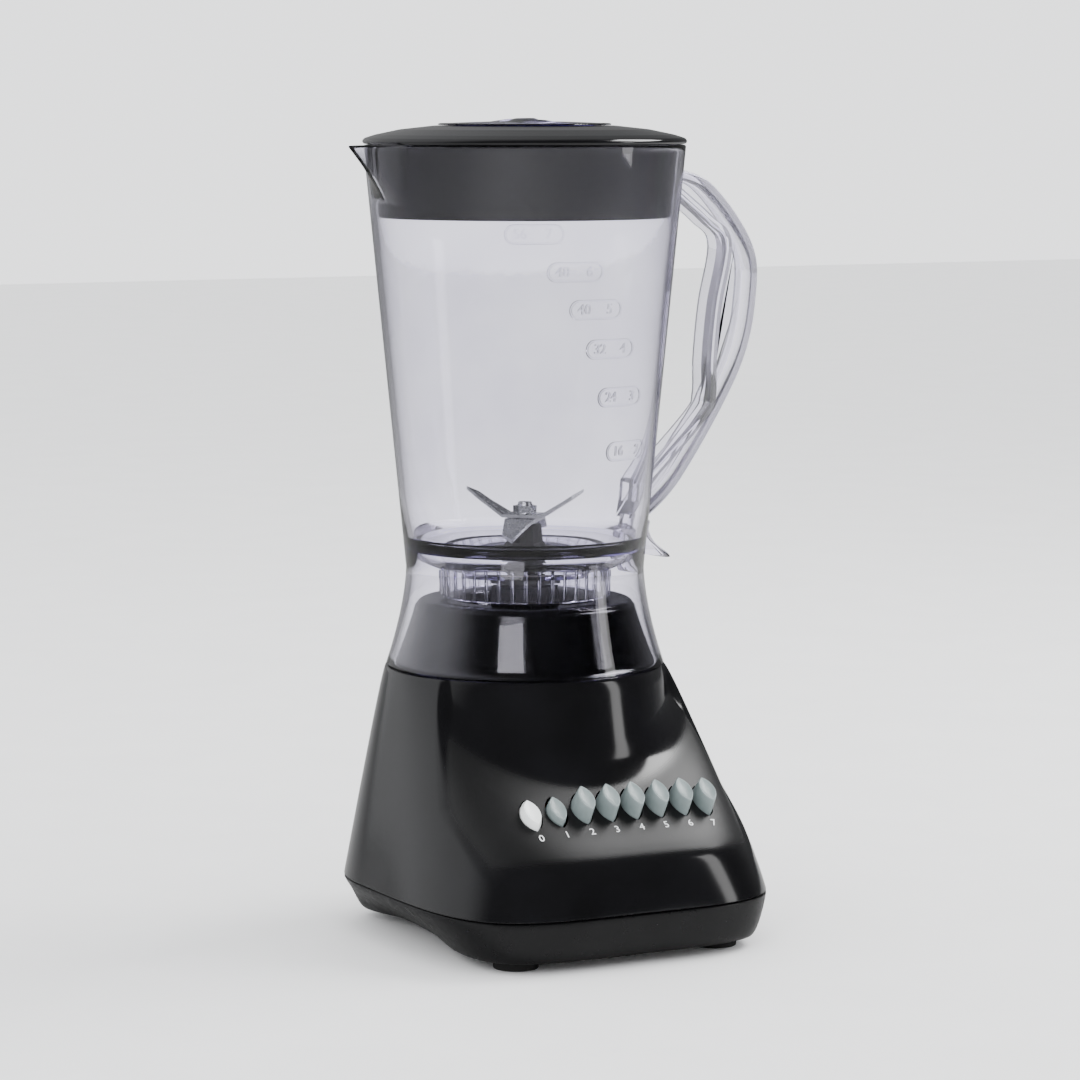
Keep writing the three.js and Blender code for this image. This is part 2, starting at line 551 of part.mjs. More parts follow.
function bottomCover() {
  const outside = column(coverRadius, spaced(FOOT_HEIGHT, SEAM_Z, 4), COVER_SIDES);
  const innerLevels = [COVER_FLOOR_Z, SEAM_Z, SEAM_Z + OVERRUN];
  const hollow = column(coverInnerRadius, innerLevels, MEDIUM);
  const posts = SCREW_PLACES.map(([x, y]) => rod(BOSS_RADIUS, FOOT_HEIGHT + 1, BOSS_Z - GAP, x, y, TINY));
  const motorPosts = [-1, 1].map((side) =>
    rod(MOUNT_RADIUS, FOOT_HEIGHT + 1, MOUNT_FOOT_Z - GAP, side * MOTOR_BOLT_X, 0, COARSE),
  );
  const screwHoles = SCREW_PLACES.flatMap(([x, y]) => [
    rod(SCREW_RADIUS + GAP, FOOT_HEIGHT - 1, BOSS_Z + 1, x, y, TINY),
    rod(SCREW_HEAD_RADIUS + GAP, FOOT_HEIGHT - 1, FOOT_HEIGHT + SCREW_HEAD_HEIGHT + GAP, x, y, TINY),
  ]);
  const pegHoles = FOOT_PLACES.map(([x, y]) =>
    rod(FOOT_PEG_RADIUS + GAP, FOOT_HEIGHT - 1, COVER_FLOOR_Z + 1, x, y, TINY),
  );
  const ventHalf = [VENT_LENGTH / 2, VENT_WIDTH / 2];
  const vents = spaced(-VENT_SPREAD / 2, VENT_SPREAD / 2, VENT_COUNT - 1).map((y) =>
    box(-ventHalf[0], ventHalf[0], y - ventHalf[1], y + ventHalf[1], FOOT_HEIGHT - 1, COVER_FLOOR_Z + 1),
  );
  return cut(join(cut(outside, hollow), ...posts, ...motorPosts), ...screwHoles, ...pegHoles, ...vents);
}

function foot() {
  return turned(
    [
      [0, 0],
      [FOOT_RADIUS - 1, 0],
      [FOOT_RADIUS, 1],
      [FOOT_RADIUS - 0.6, FOOT_HEIGHT - GAP],
      [FOOT_PEG_RADIUS, FOOT_HEIGHT - GAP],
      [FOOT_PEG_RADIUS, COVER_FLOOR_Z + 2],
      [0, COVER_FLOOR_Z + 2],
    ],
    COARSE,
  );
}

function housingScrew() {
  return turned(
    [
      [0, FOOT_HEIGHT],
      [SCREW_HEAD_RADIUS, FOOT_HEIGHT],
      [SCREW_HEAD_RADIUS, FOOT_HEIGHT + SCREW_HEAD_HEIGHT],
      [SCREW_RADIUS, FOOT_HEIGHT + SCREW_HEAD_HEIGHT],
      [SCREW_RADIUS, FOOT_HEIGHT + SCREW_LENGTH - 2],
      [0, FOOT_HEIGHT + SCREW_LENGTH],
    ],
    TINY,
  );
}

// The cord gland sits in the back wall, with a flange on each side of it.
const GLAND_Z = SEAM_Z + GLAND_RISE;
const GLAND_WALL_Y = baseRadius(GLAND_Z, Math.PI / 2);

function glandBore(radius) {
  const bore = rod(radius, 0, 2 * WALL + 2 * OVERRUN).rotate([90, 0, 0]);
  return bore.translate([0, GLAND_WALL_Y + WALL + OVERRUN, GLAND_Z]);
}

function cordGland() {
  const flange = 2.5;
  const back = WALL + 2 * GAP + 1;
  const outline = [
    [GLAND_BORE, -back - flange],
    [GLAND_RADIUS + 2, -back - flange],
    [GLAND_RADIUS + 2, -back],
    [GLAND_RADIUS, -back],
    [GLAND_RADIUS, 1],
    [GLAND_RADIUS + 2, 1],
    [GLAND_RADIUS + 2, 1 + flange],
    [GLAND_BORE + 1.5, 5 + flange],
    [GLAND_BORE, 5 + flange],
  ];
  return turned(outline, COARSE).rotate([-90, 0, 0]).translate([0, GLAND_WALL_Y, GLAND_Z]);
}

// ---------------------------------------------------------------------------------------------
// Motor: levels count down from the floor of the drum's cup
// ---------------------------------------------------------------------------------------------
const SEAL_RADIUS = SHAFT_RADIUS + 4.5;
const MOTOR_TOP_Z = CUP_FLOOR_Z - WALL - MOTOR_HEADROOM;
const UPPER_PLATE_Z = MOTOR_TOP_Z - BEARING_LENGTH - BRACKET_THICKNESS;
const FAN_TOP_Z = UPPER_PLATE_Z - 2;
const FAN_FOOT_Z = FAN_TOP_Z - FAN_LENGTH;
const STACK_TOP_Z = FAN_FOOT_Z - WINDING_OVERHANG - 3;
const STACK_FOOT_Z = STACK_TOP_Z - STACK_LENGTH;
const COMMUTATOR_TOP_Z = STACK_FOOT_Z - WINDING_OVERHANG - 1;
const COMMUTATOR_FOOT_Z = COMMUTATOR_TOP_Z - COMMUTATOR_LENGTH;
const LOWER_PLATE_Z = COMMUTATOR_FOOT_Z - 2 - BRACKET_THICKNESS;
const LOWER_BEARING_Z = LOWER_PLATE_Z - BEARING_LENGTH + BRACKET_THICKNESS;
const MOUNT_FOOT_Z = LOWER_PLATE_Z - GAP - MOUNT_HEIGHT;
const SLOT_OUTER = ARMATURE_RADIUS - 1.5;
const SLOT_INNER = SLOT_OUTER - 6;
const SLOT_WIDTH = 3.6;

function aroundZ(count, make) {
  return Array.from({ length: count }, (_, i) => make().rotate([0, 0, (360 * i) / count]));
}

function statorCore() {
  const corner = 12;
  const outline = [
    [-STATOR_HALF_X + corner, -STATOR_HALF_Y],
    [STATOR_HALF_X - corner, -STATOR_HALF_Y],
    [STATOR_HALF_X, -STATOR_HALF_Y + corner],
    [STATOR_HALF_X, STATOR_HALF_Y - corner],
    [STATOR_HALF_X - corner, STATOR_HALF_Y],
    [-STATOR_HALF_X + corner, STATOR_HALF_Y],
    [-STATOR_HALF_X, STATOR_HALF_Y - corner],
    [-STATOR_HALF_X, -STATOR_HALF_Y + corner],
  ];
  const windows = [-1, 1].flatMap((sx) =>
    [-1, 1].map((sy) => {
      const x = sx * COIL_X;
      const y = sy * COIL_LIMB_Y;
      return box(
        x - COIL_THICKNESS / 2 - GAP,
        x + COIL_THICKNESS / 2 + GAP,
        y - COIL_BREADTH / 2 - GAP,
        y + COIL_BREADTH / 2 + GAP,
        STACK_FOOT_Z - 1,
        STACK_TOP_Z + 1,
      );
    }),
  );
  const boltHoles = [-1, 1].map((side) =>
    rod(MOTOR_BOLT_RADIUS + GAP, STACK_FOOT_Z - 1, STACK_TOP_Z + 1, side * MOTOR_BOLT_X, 0, TINY),
  );
  return cut(
    slab(shapeOf(outline), STACK_FOOT_Z, STACK_TOP_Z),
    rod(ARMATURE_RADIUS + AIR_GAP, STACK_FOOT_Z - 1, STACK_TOP_Z + 1, 0, 0, STACK_SIDES),
    ...windows,
    ...boltHoles,
  );
}

// Each field coil is a closed loop: two limbs through the stator's windows and a bar at each end.
const COIL_X = ARMATURE_RADIUS + AIR_GAP + 5;
const COIL_LIMB_Y = 18;

function fieldCoil(side) {
  const halfOuter = COIL_LIMB_Y + COIL_BREADTH / 2;
  const halfInner = COIL_LIMB_Y - COIL_BREADTH / 2;
  const x0 = side * COIL_X - COIL_THICKNESS / 2;
  const x1 = x0 + COIL_THICKNESS;
  const foot = STACK_FOOT_Z - GAP - COIL_OVERHANG;
  const top = STACK_TOP_Z + GAP + COIL_OVERHANG;
  return cut(
    box(x0, x1, -halfOuter, halfOuter, foot, top),
    box(x0 - 1, x1 + 1, -halfInner, halfInner, foot + COIL_OVERHANG, top - COIL_OVERHANG),
  );
}

// A bracket: a bar with a bearing boss in the middle and a post at each end that stands on the stator.
function bracket(plateZ, bossZ0, bossZ1, postZ0, postZ1) {
  const postRadius = BRACKET_THICKNESS;
  const halfX = MOTOR_BOLT_X + postRadius + 1;
  const posts = [-1, 1].map((side) => rod(postRadius, postZ0, postZ1, side * MOTOR_BOLT_X, 0, TINY));
  const holes = [-1, 1].map((side) =>
    rod(MOTOR_BOLT_RADIUS + GAP, postZ0 - 10, postZ1 + 10, side * MOTOR_BOLT_X, 0, TINY),
  );
  return cut(
    join(
      box(-halfX, halfX, -BRACKET_HALF_Y, BRACKET_HALF_Y, plateZ, plateZ + BRACKET_THICKNESS),
      rod(BEARING_RADIUS + 3, bossZ0, bossZ1),
      ...posts,
    ),
    rod(BEARING_RADIUS + GAP, bossZ0 - 1, bossZ1 + 1),
    ...holes,
  );
}

function armatureCore() {
  const half = SLOT_WIDTH / 2;
  const slots = aroundZ(ARMATURE_SLOTS, () =>
    box(SLOT_INNER, ARMATURE_RADIUS + 1, -half, half, STACK_FOOT_Z - 1, STACK_TOP_Z + 1),
  );
  const stack = ring(SHAFT_RADIUS + GAP, ARMATURE_RADIUS, STACK_FOOT_Z, STACK_TOP_Z, 0, 0, STACK_SIDES);
  return cut(stack, ...slots);
}

function armatureWindings() {
  const endTurn = (z0) => ring(SHAFT_RADIUS + 3, SLOT_OUTER, z0, z0 + WINDING_OVERHANG - GAP);
  const bars = aroundZ(ARMATURE_SLOTS, () =>
    box(
      SLOT_INNER + GAP,
      SLOT_OUTER - GAP,
      GAP - SLOT_WIDTH / 2,
      SLOT_WIDTH / 2 - GAP,
      STACK_FOOT_Z - 1,
      STACK_TOP_Z + 1,
    ),
  );
  return join(endTurn(STACK_FOOT_Z - WINDING_OVERHANG), endTurn(STACK_TOP_Z + GAP), ...bars);
}

function commutator() {
  const depth = 1;
  const half = 0.4;
  const [foot, top] = [COMMUTATOR_FOOT_Z - 1, COMMUTATOR_TOP_Z - 2];
  const grooves = aroundZ(ARMATURE_SLOTS, () =>
    box(COMMUTATOR_RADIUS - depth, COMMUTATOR_RADIUS + 1, -half, half, foot, top),
  );
  return cut(
    ring(SHAFT_RADIUS + GAP, COMMUTATOR_RADIUS, COMMUTATOR_FOOT_Z, COMMUTATOR_TOP_Z, 0, 0, STACK_SIDES),
    ...grooves,
  );
}

function coolingFan() {
  const blades = aroundZ(FAN_BLADES, () =>
    box(FAN_HUB_RADIUS - 1, FAN_RADIUS - 1, -1, 1, FAN_FOOT_Z + 1, FAN_TOP_Z).rotate([0, 0, FAN_RAKE]),
  );
  return cut(
    join(
      rod(FAN_RADIUS, FAN_FOOT_Z, FAN_FOOT_Z + 2),
      rod(FAN_HUB_RADIUS, FAN_FOOT_Z, FAN_TOP_Z),
      ...blades,
    ),
    rod(SHAFT_RADIUS + GAP, FAN_FOOT_Z - 1, FAN_TOP_Z + 1),
  );
}

const BRUSH_HALF = 3; // half the width of a carbon brush
const HOLDER_LENGTH = 20;
const HOLDER_WALL = 2;
const BRUSH_Z = (COMMUTATOR_FOOT_Z + COMMUTATOR_TOP_Z) / 2 - 1;
const BRUSH_START = COMMUTATOR_RADIUS + GAP;
const HOLDER_START = COMMUTATOR_RADIUS + 3;
const HOLDER_END = HOLDER_START + HOLDER_LENGTH;

function brushHolder(side) {
  const half = BRUSH_HALF + GAP;
  const outer = half + HOLDER_WALL;
  const foot = LOWER_PLATE_Z + BRACKET_THICKNESS + GAP;
  const body = cut(
    box(-outer, outer, HOLDER_START, HOLDER_END, foot, BRUSH_Z + outer),
    box(-half, half, HOLDER_START - 1, HOLDER_END - HOLDER_WALL, BRUSH_Z - half, BRUSH_Z + half),
  );
  return side < 0 ? body.rotate([0, 0, 180]) : body;
}

function carbonBrush(side) {
  const end = HOLDER_END - 3 * HOLDER_WALL;
  const body = box(-BRUSH_HALF, BRUSH_HALF, BRUSH_START, end, BRUSH_Z - BRUSH_HALF, BRUSH_Z + BRUSH_HALF);
  return side < 0 ? body.rotate([0, 0, 180]) : body;
}

function motorBolt(side) {
  const headRadius = 2 * MOTOR_BOLT_RADIUS;
  const x = side * MOTOR_BOLT_X;
  const foot = LOWER_PLATE_Z + 1;
  const top = UPPER_PLATE_Z + BRACKET_THICKNESS + GAP;
  const shank = rod(MOTOR_BOLT_RADIUS, foot, top + 1, x, 0, TINY);
  return join(shank, rod(headRadius, top, top + 3, x, 0, HEXAGON));
}

// ---------------------------------------------------------------------------------------------
// Dog clutch between motor and blades
// ---------------------------------------------------------------------------------------------
const DRIVE_DISC_Z = CUP_FLOOR_Z + 2.6; // clear of the shaft seal
const DRIVE_DISC_TOP = DRIVE_DISC_Z + CLUTCH_DISC;
const DRIVE_TEETH_TOP = DRIVE_DISC_TOP + CLUTCH_TOOTH_LENGTH;
const DRIVEN_FOOT_Z = DRIVE_DISC_TOP + CLUTCH_CLEARANCE;
const DRIVEN_TOP_Z = DRIVEN_FOOT_Z + CLUTCH_TOOTH_LENGTH - 0.8;

// A ring sector from `inner` to `outer`, centred on the given direction.
function sector(inner, outer, centre, width, z0, z1) {
  const shape = new THREE.Shape();
  shape.absarc(0, 0, outer, centre - width / 2, centre + width / 2, false);
  shape.absarc(0, 0, inner, centre + width / 2, centre - width / 2, true);
  return slab(shape, z0, z1);
}

const DRIVEN_HUB_RADIUS = CLUTCH_RADIUS - CLUTCH_TOOTH_DEPTH - 1.5;
const toothCentre = (i) => (i * 2 * Math.PI) / CLUTCH_TEETH;
const HALF_PITCH = Math.PI / CLUTCH_TEETH;

function driveCoupling() {
  const teeth = Array.from({ length: CLUTCH_TEETH }, (_, i) =>
    sector(
      CLUTCH_RADIUS - CLUTCH_TOOTH_DEPTH,
      CLUTCH_RADIUS,
      toothCentre(i),
      CLUTCH_TOOTH_ANGLE,
      DRIVE_DISC_TOP - 1,
      DRIVE_TEETH_TOP,
    ),
  );
  return cut(
    join(rod(CLUTCH_RADIUS, DRIVE_DISC_Z, DRIVE_DISC_TOP), ...teeth),
    rod(SHAFT_RADIUS + GAP, DRIVE_DISC_Z - 1, DRIVE_DISC_TOP + 1),
  );
}

function jarCoupling() {
  const teeth = Array.from({ length: CLUTCH_TEETH }, (_, i) =>
    sector(
      DRIVEN_HUB_RADIUS - 1,
      CLUTCH_RADIUS - 1,
      toothCentre(i) + HALF_PITCH,
      CLUTCH_TOOTH_ANGLE,
      DRIVEN_FOOT_Z,
      DRIVEN_TOP_Z,
    ),
  );
  return cut(
    join(rod(DRIVEN_HUB_RADIUS, DRIVEN_FOOT_Z, DRIVEN_TOP_Z), ...teeth),
    rod(SPINDLE_RADIUS + GAP, DRIVEN_FOOT_Z - 1, DRIVEN_TOP_Z + 1),
  );
}

function motorShaft() {
  return rod(SHAFT_RADIUS, LOWER_BEARING_Z - 2, DRIVE_DISC_TOP - 0.3);
}

// ---------------------------------------------------------------------------------------------
// Switch bank under the panel
// ---------------------------------------------------------------------------------------------
const SWITCH_FOOT = SWITCH_TOP - SWITCH_DEPTH;

function switchBank() {
  const half = SWITCH_HALF_LENGTH;
  const middle = BUTTON_ROW_SHIFT;
  const breadth = SWITCH_HALF_BREADTH;
  const body = box(middle - half, middle + half, -breadth, breadth, SWITCH_FOOT, SWITCH_TOP);
  const reach = SWITCH_POST_UP + SWITCH_POST_RADIUS;
  const straps = SWITCH_POST_ALONG.map((x) =>
    box(x - SWITCH_STRAP, x + SWITCH_STRAP, -reach, reach, SWITCH_TOP - SWITCH_STRAP, SWITCH_TOP),
  );
  const [alongRow, acrossRow] = PLUNGER_HALF.map((size) => size + BUTTON_CLEARANCE);
  const wellFoot = SWITCH_TOP - PLUNGER_LENGTH - 2;
  const wells = BUTTON_NAMES.map((_, i) =>
    box(rowX(i) - alongRow, rowX(i) + alongRow, -acrossRow, acrossRow, wellFoot, SWITCH_TOP + 1),
  );
  return onPanel(cut(join(body, ...straps), ...wells));
}

function switchTerminals() {
  const top = SWITCH_FOOT - GAP;
  const tags = BUTTON_NAMES.map((_, i) => box(rowX(i) - 2, rowX(i) + 2, -0.5, 0.5, top - 7, top - 1));
  const half = SWITCH_HALF_LENGTH - 4;
  return onPanel(join(box(BUTTON_ROW_SHIFT - half, BUTTON_ROW_SHIFT + half, -3, 3, top - 2, top), ...tags));
}

// ---------------------------------------------------------------------------------------------
// Jar
// ---------------------------------------------------------------------------------------------
const handlePoint = (drop, reach) => new THREE.Vector2(jarRadius(RIM_Z - drop) + reach, RIM_Z - drop);
const HANDLE_ROOT = -WALL / 2; // how far the handle runs into the jar's wall

// The handle's outer edge, from its upper root to its lower root.
function handleOuterEdge() {
  return new THREE.SplineCurve([
    handlePoint(10.7, HANDLE_ROOT),
    handlePoint(18.4, 21.8),
    handlePoint(45.7, 46.5),
    handlePoint(70, 52.2),
    handlePoint(106.7, 46.7),
    handlePoint(157.7, 19.6),
    handlePoint(178.7, HANDLE_ROOT),
  ]).getPoints(28);
}

// The finger opening's edge, from its lower root to its upper root, with three corners.
function handleInnerEdge() {
  return [
    handlePoint(158.7, HANDLE_ROOT),
    handlePoint(127.9, 27),
    handlePoint(118.7, 30.9),
    handlePoint(101.2, 29.6),
    handlePoint(75.5, 29.8),
    handlePoint(47.5, 32.2),
    handlePoint(36.8, 22),
    handlePoint(19.7, HANDLE_ROOT),
  ];
}

// Moves an open line of points sideways by `distance`, to the right of its direction of travel.
function offsetLine(points, distance) {
  return points.map((point, i) => {
    const before = points[Math.max(i - 1, 0)];
    const after = points[Math.min(i + 1, points.length - 1)];
    const along = after.clone().sub(before).normalize();
    return new THREE.Vector2(point.x + along.y * distance, point.y - along.x * distance);
  });
}

const POCKET_END_STEPS = 4; // the side pockets stop this many steps short of the handle's roots

function handle() {
  const outer = handleOuterEdge();
  const inner = handleInnerEdge();
  const pocketOutline = [
    ...offsetLine(outer, HANDLE_RAIL).slice(POCKET_END_STEPS, -POCKET_END_STEPS),
    ...offsetLine(inner, HANDLE_RAIL).slice(1, -1),
  ];
  const pocketDepth = (HANDLE_WIDTH - HANDLE_WEB) / 2;
  const pocket = standingSlab(new THREE.Shape(pocketOutline), pocketDepth * 2);
  const shift = HANDLE_WEB / 2 + pocketDepth;
  const body = standingSlab(new THREE.Shape([...outer, ...inner]), HANDLE_WIDTH);
  return cut(body, pocket.translate([0, shift, 0]), pocket.translate([0, -shift, 0]));
}

// The tail below the handle, which stands off the jar like a small hook.
function hook() {
  return standingSlab(
    new THREE.Shape([
      handlePoint(176, HANDLE_ROOT),
      handlePoint(176.9, 6.7),
      handlePoint(181.8, 7.1),
      handlePoint(187.4, 10.9),
      handlePoint(193.6, 19.1),
      handlePoint(195, 17.2),
      handlePoint(191.2, HANDLE_ROOT),
    ]),
    HOOK_WIDTH,
  );
}

// Pulls the rim out to a V-shaped spout on the -X side.
function pullSpout(position) {
  for (let i = 0; i < position.count; i++) {
    const x = position.getX(i);
    const y = position.getY(i);
    const z = position.getZ(i);
    const fromSpout = Math.PI - Math.abs(Math.atan2(y, x));
    const risen = clamp01((z - RIM_Z + SPOUT_DEPTH) / SPOUT_DEPTH);
    const share = clamp01(1 - fromSpout / SPOUT_HALF_ANGLE) * risen;
    const radius = Math.hypot(x, y);
    const stretch = (radius + SPOUT_REACH * share) / radius;
    position.setXYZ(i, x * stretch, y * stretch, z);
  }
}

function jarShell() {
  const wallLevels = [WAIST_Z, FLOOR_Z + 12, RIM_Z - SPOUT_DEPTH, RIM_Z];
  const skirtLevels = spaced(SKIRT_Z, WAIST_Z, 4).slice(0, -1);
  const wallInside = jarRadius(FLOOR_Z) - WALL;
  const outer = [...skirtLevels, ...wallLevels].map((z) => [jarRadius(z), z]);
  const inner = wallLevels
    .filter((z) => z > FLOOR_Z + 10)
    .reverse()
    .map((z) => [jarRadius(z) - WALL, z]);
  const floorTop = [
    [wallInside, FLOOR_Z + 5],
    [wallInside - 3, FLOOR_Z + 1],
    [WELL_RADIUS + 8, WELL_Z + 6.5],
    [WELL_RADIUS + 1.5, WELL_Z + 4.5],
    [WELL_RADIUS, WELL_Z + 2.5],
    [WELL_RADIUS, WELL_Z],
    [HOLDER_RADIUS + GAP, WELL_Z],
  ];
  const floorUnder = [
    [HOLDER_RADIUS + GAP, WELL_Z - WALL],
    [WELL_RADIUS + WALL, WELL_Z - WALL],
    [WELL_RADIUS + WALL + 1, WELL_Z + 1],
    [COLLAR_RADIUS - WALL, WELL_Z + 3.2],
    [COLLAR_RADIUS - WALL, DRUM_TOP_Z + 1.5],
    [COLLAR_RADIUS, DRUM_TOP_Z + 1.5],
    [COLLAR_RADIUS, WELL_Z + 3.6],
    [jarRadius(FLOOR_Z) - WALL - 3, FLOOR_Z - WALL],
  ];
  const skirtInside = [...skirtLevels]
    .reverse()
    .map((z) => [jarRadius(z) - WALL, z]);
  return turned([...outer, ...inner, ...floorTop, ...floorUnder, ...skirtInside], FINE, pullSpout);
}

const jar = () => join(jarShell(), handle(), hook());

// ---------------------------------------------------------------------------------------------
// Blade unit in the jar's floor
// ---------------------------------------------------------------------------------------------
const HOLDER_FOOT_Z = DRIVEN_TOP_Z + 0.8;
const NUT_HEIGHT = 3.6;
const LOCK_NUT_TOP_Z = WELL_Z - WALL - GAP;
const GASKET_THICKNESS = 1.4;
const FLANGE_FOOT_Z = WELL_Z + 2 * GAP + GASKET_THICKNESS;
const FLANGE_TOP_Z = FLANGE_FOOT_Z + 3;
const HOLDER_TOP_Z = FLANGE_TOP_Z + 13;
const BUSH_RADIUS = SPINDLE_RADIUS + 1.3;
const BUSH_LENGTH = 7;
const BLADE_STEP = BLADE_THICKNESS + GAP;
const WASHER_Z = HOLDER_TOP_Z + GAP;
const LOWER_BLADE_Z = WASHER_Z + 1 + GAP;
const UPPER_BLADE_Z = LOWER_BLADE_Z + BLADE_STEP;
const BLADE_NUT_Z = UPPER_BLADE_Z + BLADE_STEP;
const BLADE_NUT_HEIGHT = 6;

function bladeBearingHousing() {
  const bore = BUSH_RADIUS + GAP;
  return turned(
    [
      [bore, HOLDER_FOOT_Z],
      [HOLDER_RADIUS, HOLDER_FOOT_Z],
      [HOLDER_RADIUS, FLANGE_FOOT_Z],
      [HOLDER_FLANGE_RADIUS, FLANGE_FOOT_Z],
      [HOLDER_FLANGE_RADIUS, FLANGE_TOP_Z - 1],
      [HOLDER_FLANGE_RADIUS - 1, FLANGE_TOP_Z],
      [HOLDER_RADIUS + 1.3, FLANGE_TOP_Z + 0.6],
      [HOLDER_RADIUS - 1.2, FLANGE_TOP_Z + 4],
      [HOLDER_RADIUS - 2, HOLDER_TOP_Z - 0.8],
      [HOLDER_RADIUS - 2.8, HOLDER_TOP_Z],
      [bore, HOLDER_TOP_Z],
    ],
    COARSE,
  );
}

const spindleBushing = (z) => ring(SPINDLE_RADIUS + RUNNING, BUSH_RADIUS, z, z + BUSH_LENGTH);
const spindle = () => rod(SPINDLE_RADIUS, DRIVEN_FOOT_Z + 0.3, BLADE_NUT_Z + BLADE_NUT_HEIGHT - 2);

// A two-armed blade: a bent strip, trimmed to a pointed outline.
function blade(z, halfLength, tipRise, turn) {
  const flat = BLADE_HUB;
  const half = BLADE_HALF_BREADTH;
  const t = BLADE_THICKNESS;
  const strip = standingSlab(
    shapeOf([
      [-halfLength, tipRise],
      [-flat, 0],
      [flat, 0],
      [halfLength, tipRise],
      [halfLength, tipRise + t],
      [flat, t],
      [-flat, t],
      [-halfLength, tipRise + t],
    ]),
    2 * flat,
  );
  const outline = shapeOf([
    [-halfLength, -2],
    [-flat, -half],
    [flat, -half],
    [halfLength - 4, -4],
    [halfLength, 2],
    [flat, half],
    [-flat, half],
    [4 - halfLength, 4],
  ]);
  const trimmed = strip.intersect(slab(outline, -30, 30));
  return cut(trimmed, rod(SPINDLE_RADIUS + GAP, -5, 5)).rotate([0, 0, turn]).translate([0, 0, z]);
}

function bladeNut() {
  const top = BLADE_NUT_Z + BLADE_NUT_HEIGHT;
  return cut(
    join(rod(5.5, BLADE_NUT_Z, top - 2, 0, 0, 6), rod(5, BLADE_NUT_Z, top, 0, 0, COARSE, 3)),
    rod(SPINDLE_RADIUS + GAP, BLADE_NUT_Z - 1, top - 1.5),
  );
}

// ---------------------------------------------------------------------------------------------
// Lid and filler cap
// ---------------------------------------------------------------------------------------------
const LID_RADIUS = jarRadius(RIM_Z) + LID_OVERHANG;
const LID_FOOT_Z = RIM_Z + GAP;
const LID_EDGE_TOP = LID_FOOT_Z + LID_EDGE;
const LID_TOP_Z = LID_FOOT_Z + LID_RISE;
const LID_SKIRT_Z = LID_FOOT_Z - LID_SKIRT_DEPTH;
const LID_BROW_RADIUS = (LID_RADIUS + CAP_RADIUS) / 2; // where the dome bends down to the edge
const LID_BROW_DROP = 1.9;
const CAP_HOLE = CAP_CUP_RADIUS + 1.2;
const CAP_FOOT_Z = LID_TOP_Z + GAP;
const CAP_TOP_Z = CAP_FOOT_Z + CAP_RISE;

function lid() {
  const skirtOuter = (z) => jarRadius(z) - WALL - LID_CLEARANCE;
  const domeUnder = LID_TOP_Z - LID_WALL;
  return turned(
    [
      [CAP_HOLE, LID_TOP_Z],
      [CAP_RADIUS + 2, LID_TOP_Z],
      [LID_BROW_RADIUS, LID_TOP_Z - LID_BROW_DROP],
      [LID_RADIUS - 6, LID_EDGE_TOP + 1.5],
      [LID_RADIUS - 1, LID_EDGE_TOP],
      [LID_RADIUS, LID_FOOT_Z + LID_EDGE / 2],
      [LID_RADIUS - 0.8, LID_FOOT_Z],
      [skirtOuter(LID_FOOT_Z), LID_FOOT_Z],
      [skirtOuter(LID_SKIRT_Z + 2), LID_SKIRT_Z + 2],
      [skirtOuter(LID_SKIRT_Z) - 0.8, LID_SKIRT_Z],
      [skirtOuter(LID_SKIRT_Z) - LID_WALL, LID_SKIRT_Z],
      [skirtOuter(LID_FOOT_Z) - LID_WALL - 0.6, LID_FOOT_Z - 2],
      [LID_BROW_RADIUS, domeUnder - LID_BROW_DROP],
      [CAP_HOLE + LID_WALL, domeUnder],
      [CAP_HOLE + LID_WALL, domeUnder - 7],
      [CAP_HOLE, domeUnder - 7],
    ],
    FINE,
  );
}

function fillerCap() {
  const cupFoot = CAP_FOOT_Z - CAP_CUP_DEPTH;
  return turned(
    [
      [0, CAP_TOP_Z],
      [0.35 * CAP_RADIUS, CAP_TOP_Z - 0.2],
      [0.7 * CAP_RADIUS, CAP_TOP_Z - 1],
      [CAP_RADIUS - 1, CAP_FOOT_Z + 1],
      [CAP_RADIUS, CAP_FOOT_Z],
      [CAP_CUP_RADIUS, CAP_FOOT_Z],
      [CAP_CUP_RADIUS - 1, cupFoot],
      [CAP_CUP_RADIUS - 1 - CAP_WALL, cupFoot],
      [CAP_CUP_RADIUS - CAP_WALL, CAP_FOOT_Z - 1],
      [0.35 * CAP_RADIUS, CAP_TOP_Z - 0.2 - CAP_WALL],
      [0, CAP_TOP_Z - CAP_WALL],
    ],
    FINE,
  );
}

// ---------------------------------------------------------------------------------------------
// Assembly
// ---------------------------------------------------------------------------------------------
const base = new THREE.Group();
addPart(base, "upper_housing", upperHousing(), MATERIALS.glossBlack);
addPart(base, "bottom_cover", bottomCover(), MATERIALS.satinBlack);
FOOT_PLACES.forEach(([x, y], i) => {
  addPart(base, `foot_${i + 1}`, foot(), MATERIALS.rubber, [x, y, 0]);
});
SCREW_PLACES.forEach(([x, y], i) => {
  addPart(base, `housing_screw_${i + 1}`, housingScrew(), MATERIALS.steel, [x, y, 0]);
});
addPart(base, "cord_gland", cordGland(), MATERIALS.rubber);
addPart(base, "switch_bank", switchBank(), MATERIALS.phenolic);
addPart(base, "switch_terminals", switchTerminals(), MATERIALS.bronze);
addPart(base, "stator_core", statorCore(), MATERIALS.laminations);
addPart(
  base,
  "motor_bracket_upper",
  bracket(UPPER_PLATE_Z, UPPER_PLATE_Z, MOTOR_TOP_Z, STACK_TOP_Z + GAP, UPPER_PLATE_Z + 1),
  MATERIALS.zinc,
);
addPart(
  base,
  "motor_bracket_lower",
  bracket(
    LOWER_PLATE_Z,
    LOWER_BEARING_Z,
    LOWER_PLATE_Z + BRACKET_THICKNESS,
    LOWER_PLATE_Z + 1,
    STACK_FOOT_Z - GAP,
  ),
  MATERIALS.zinc,
);
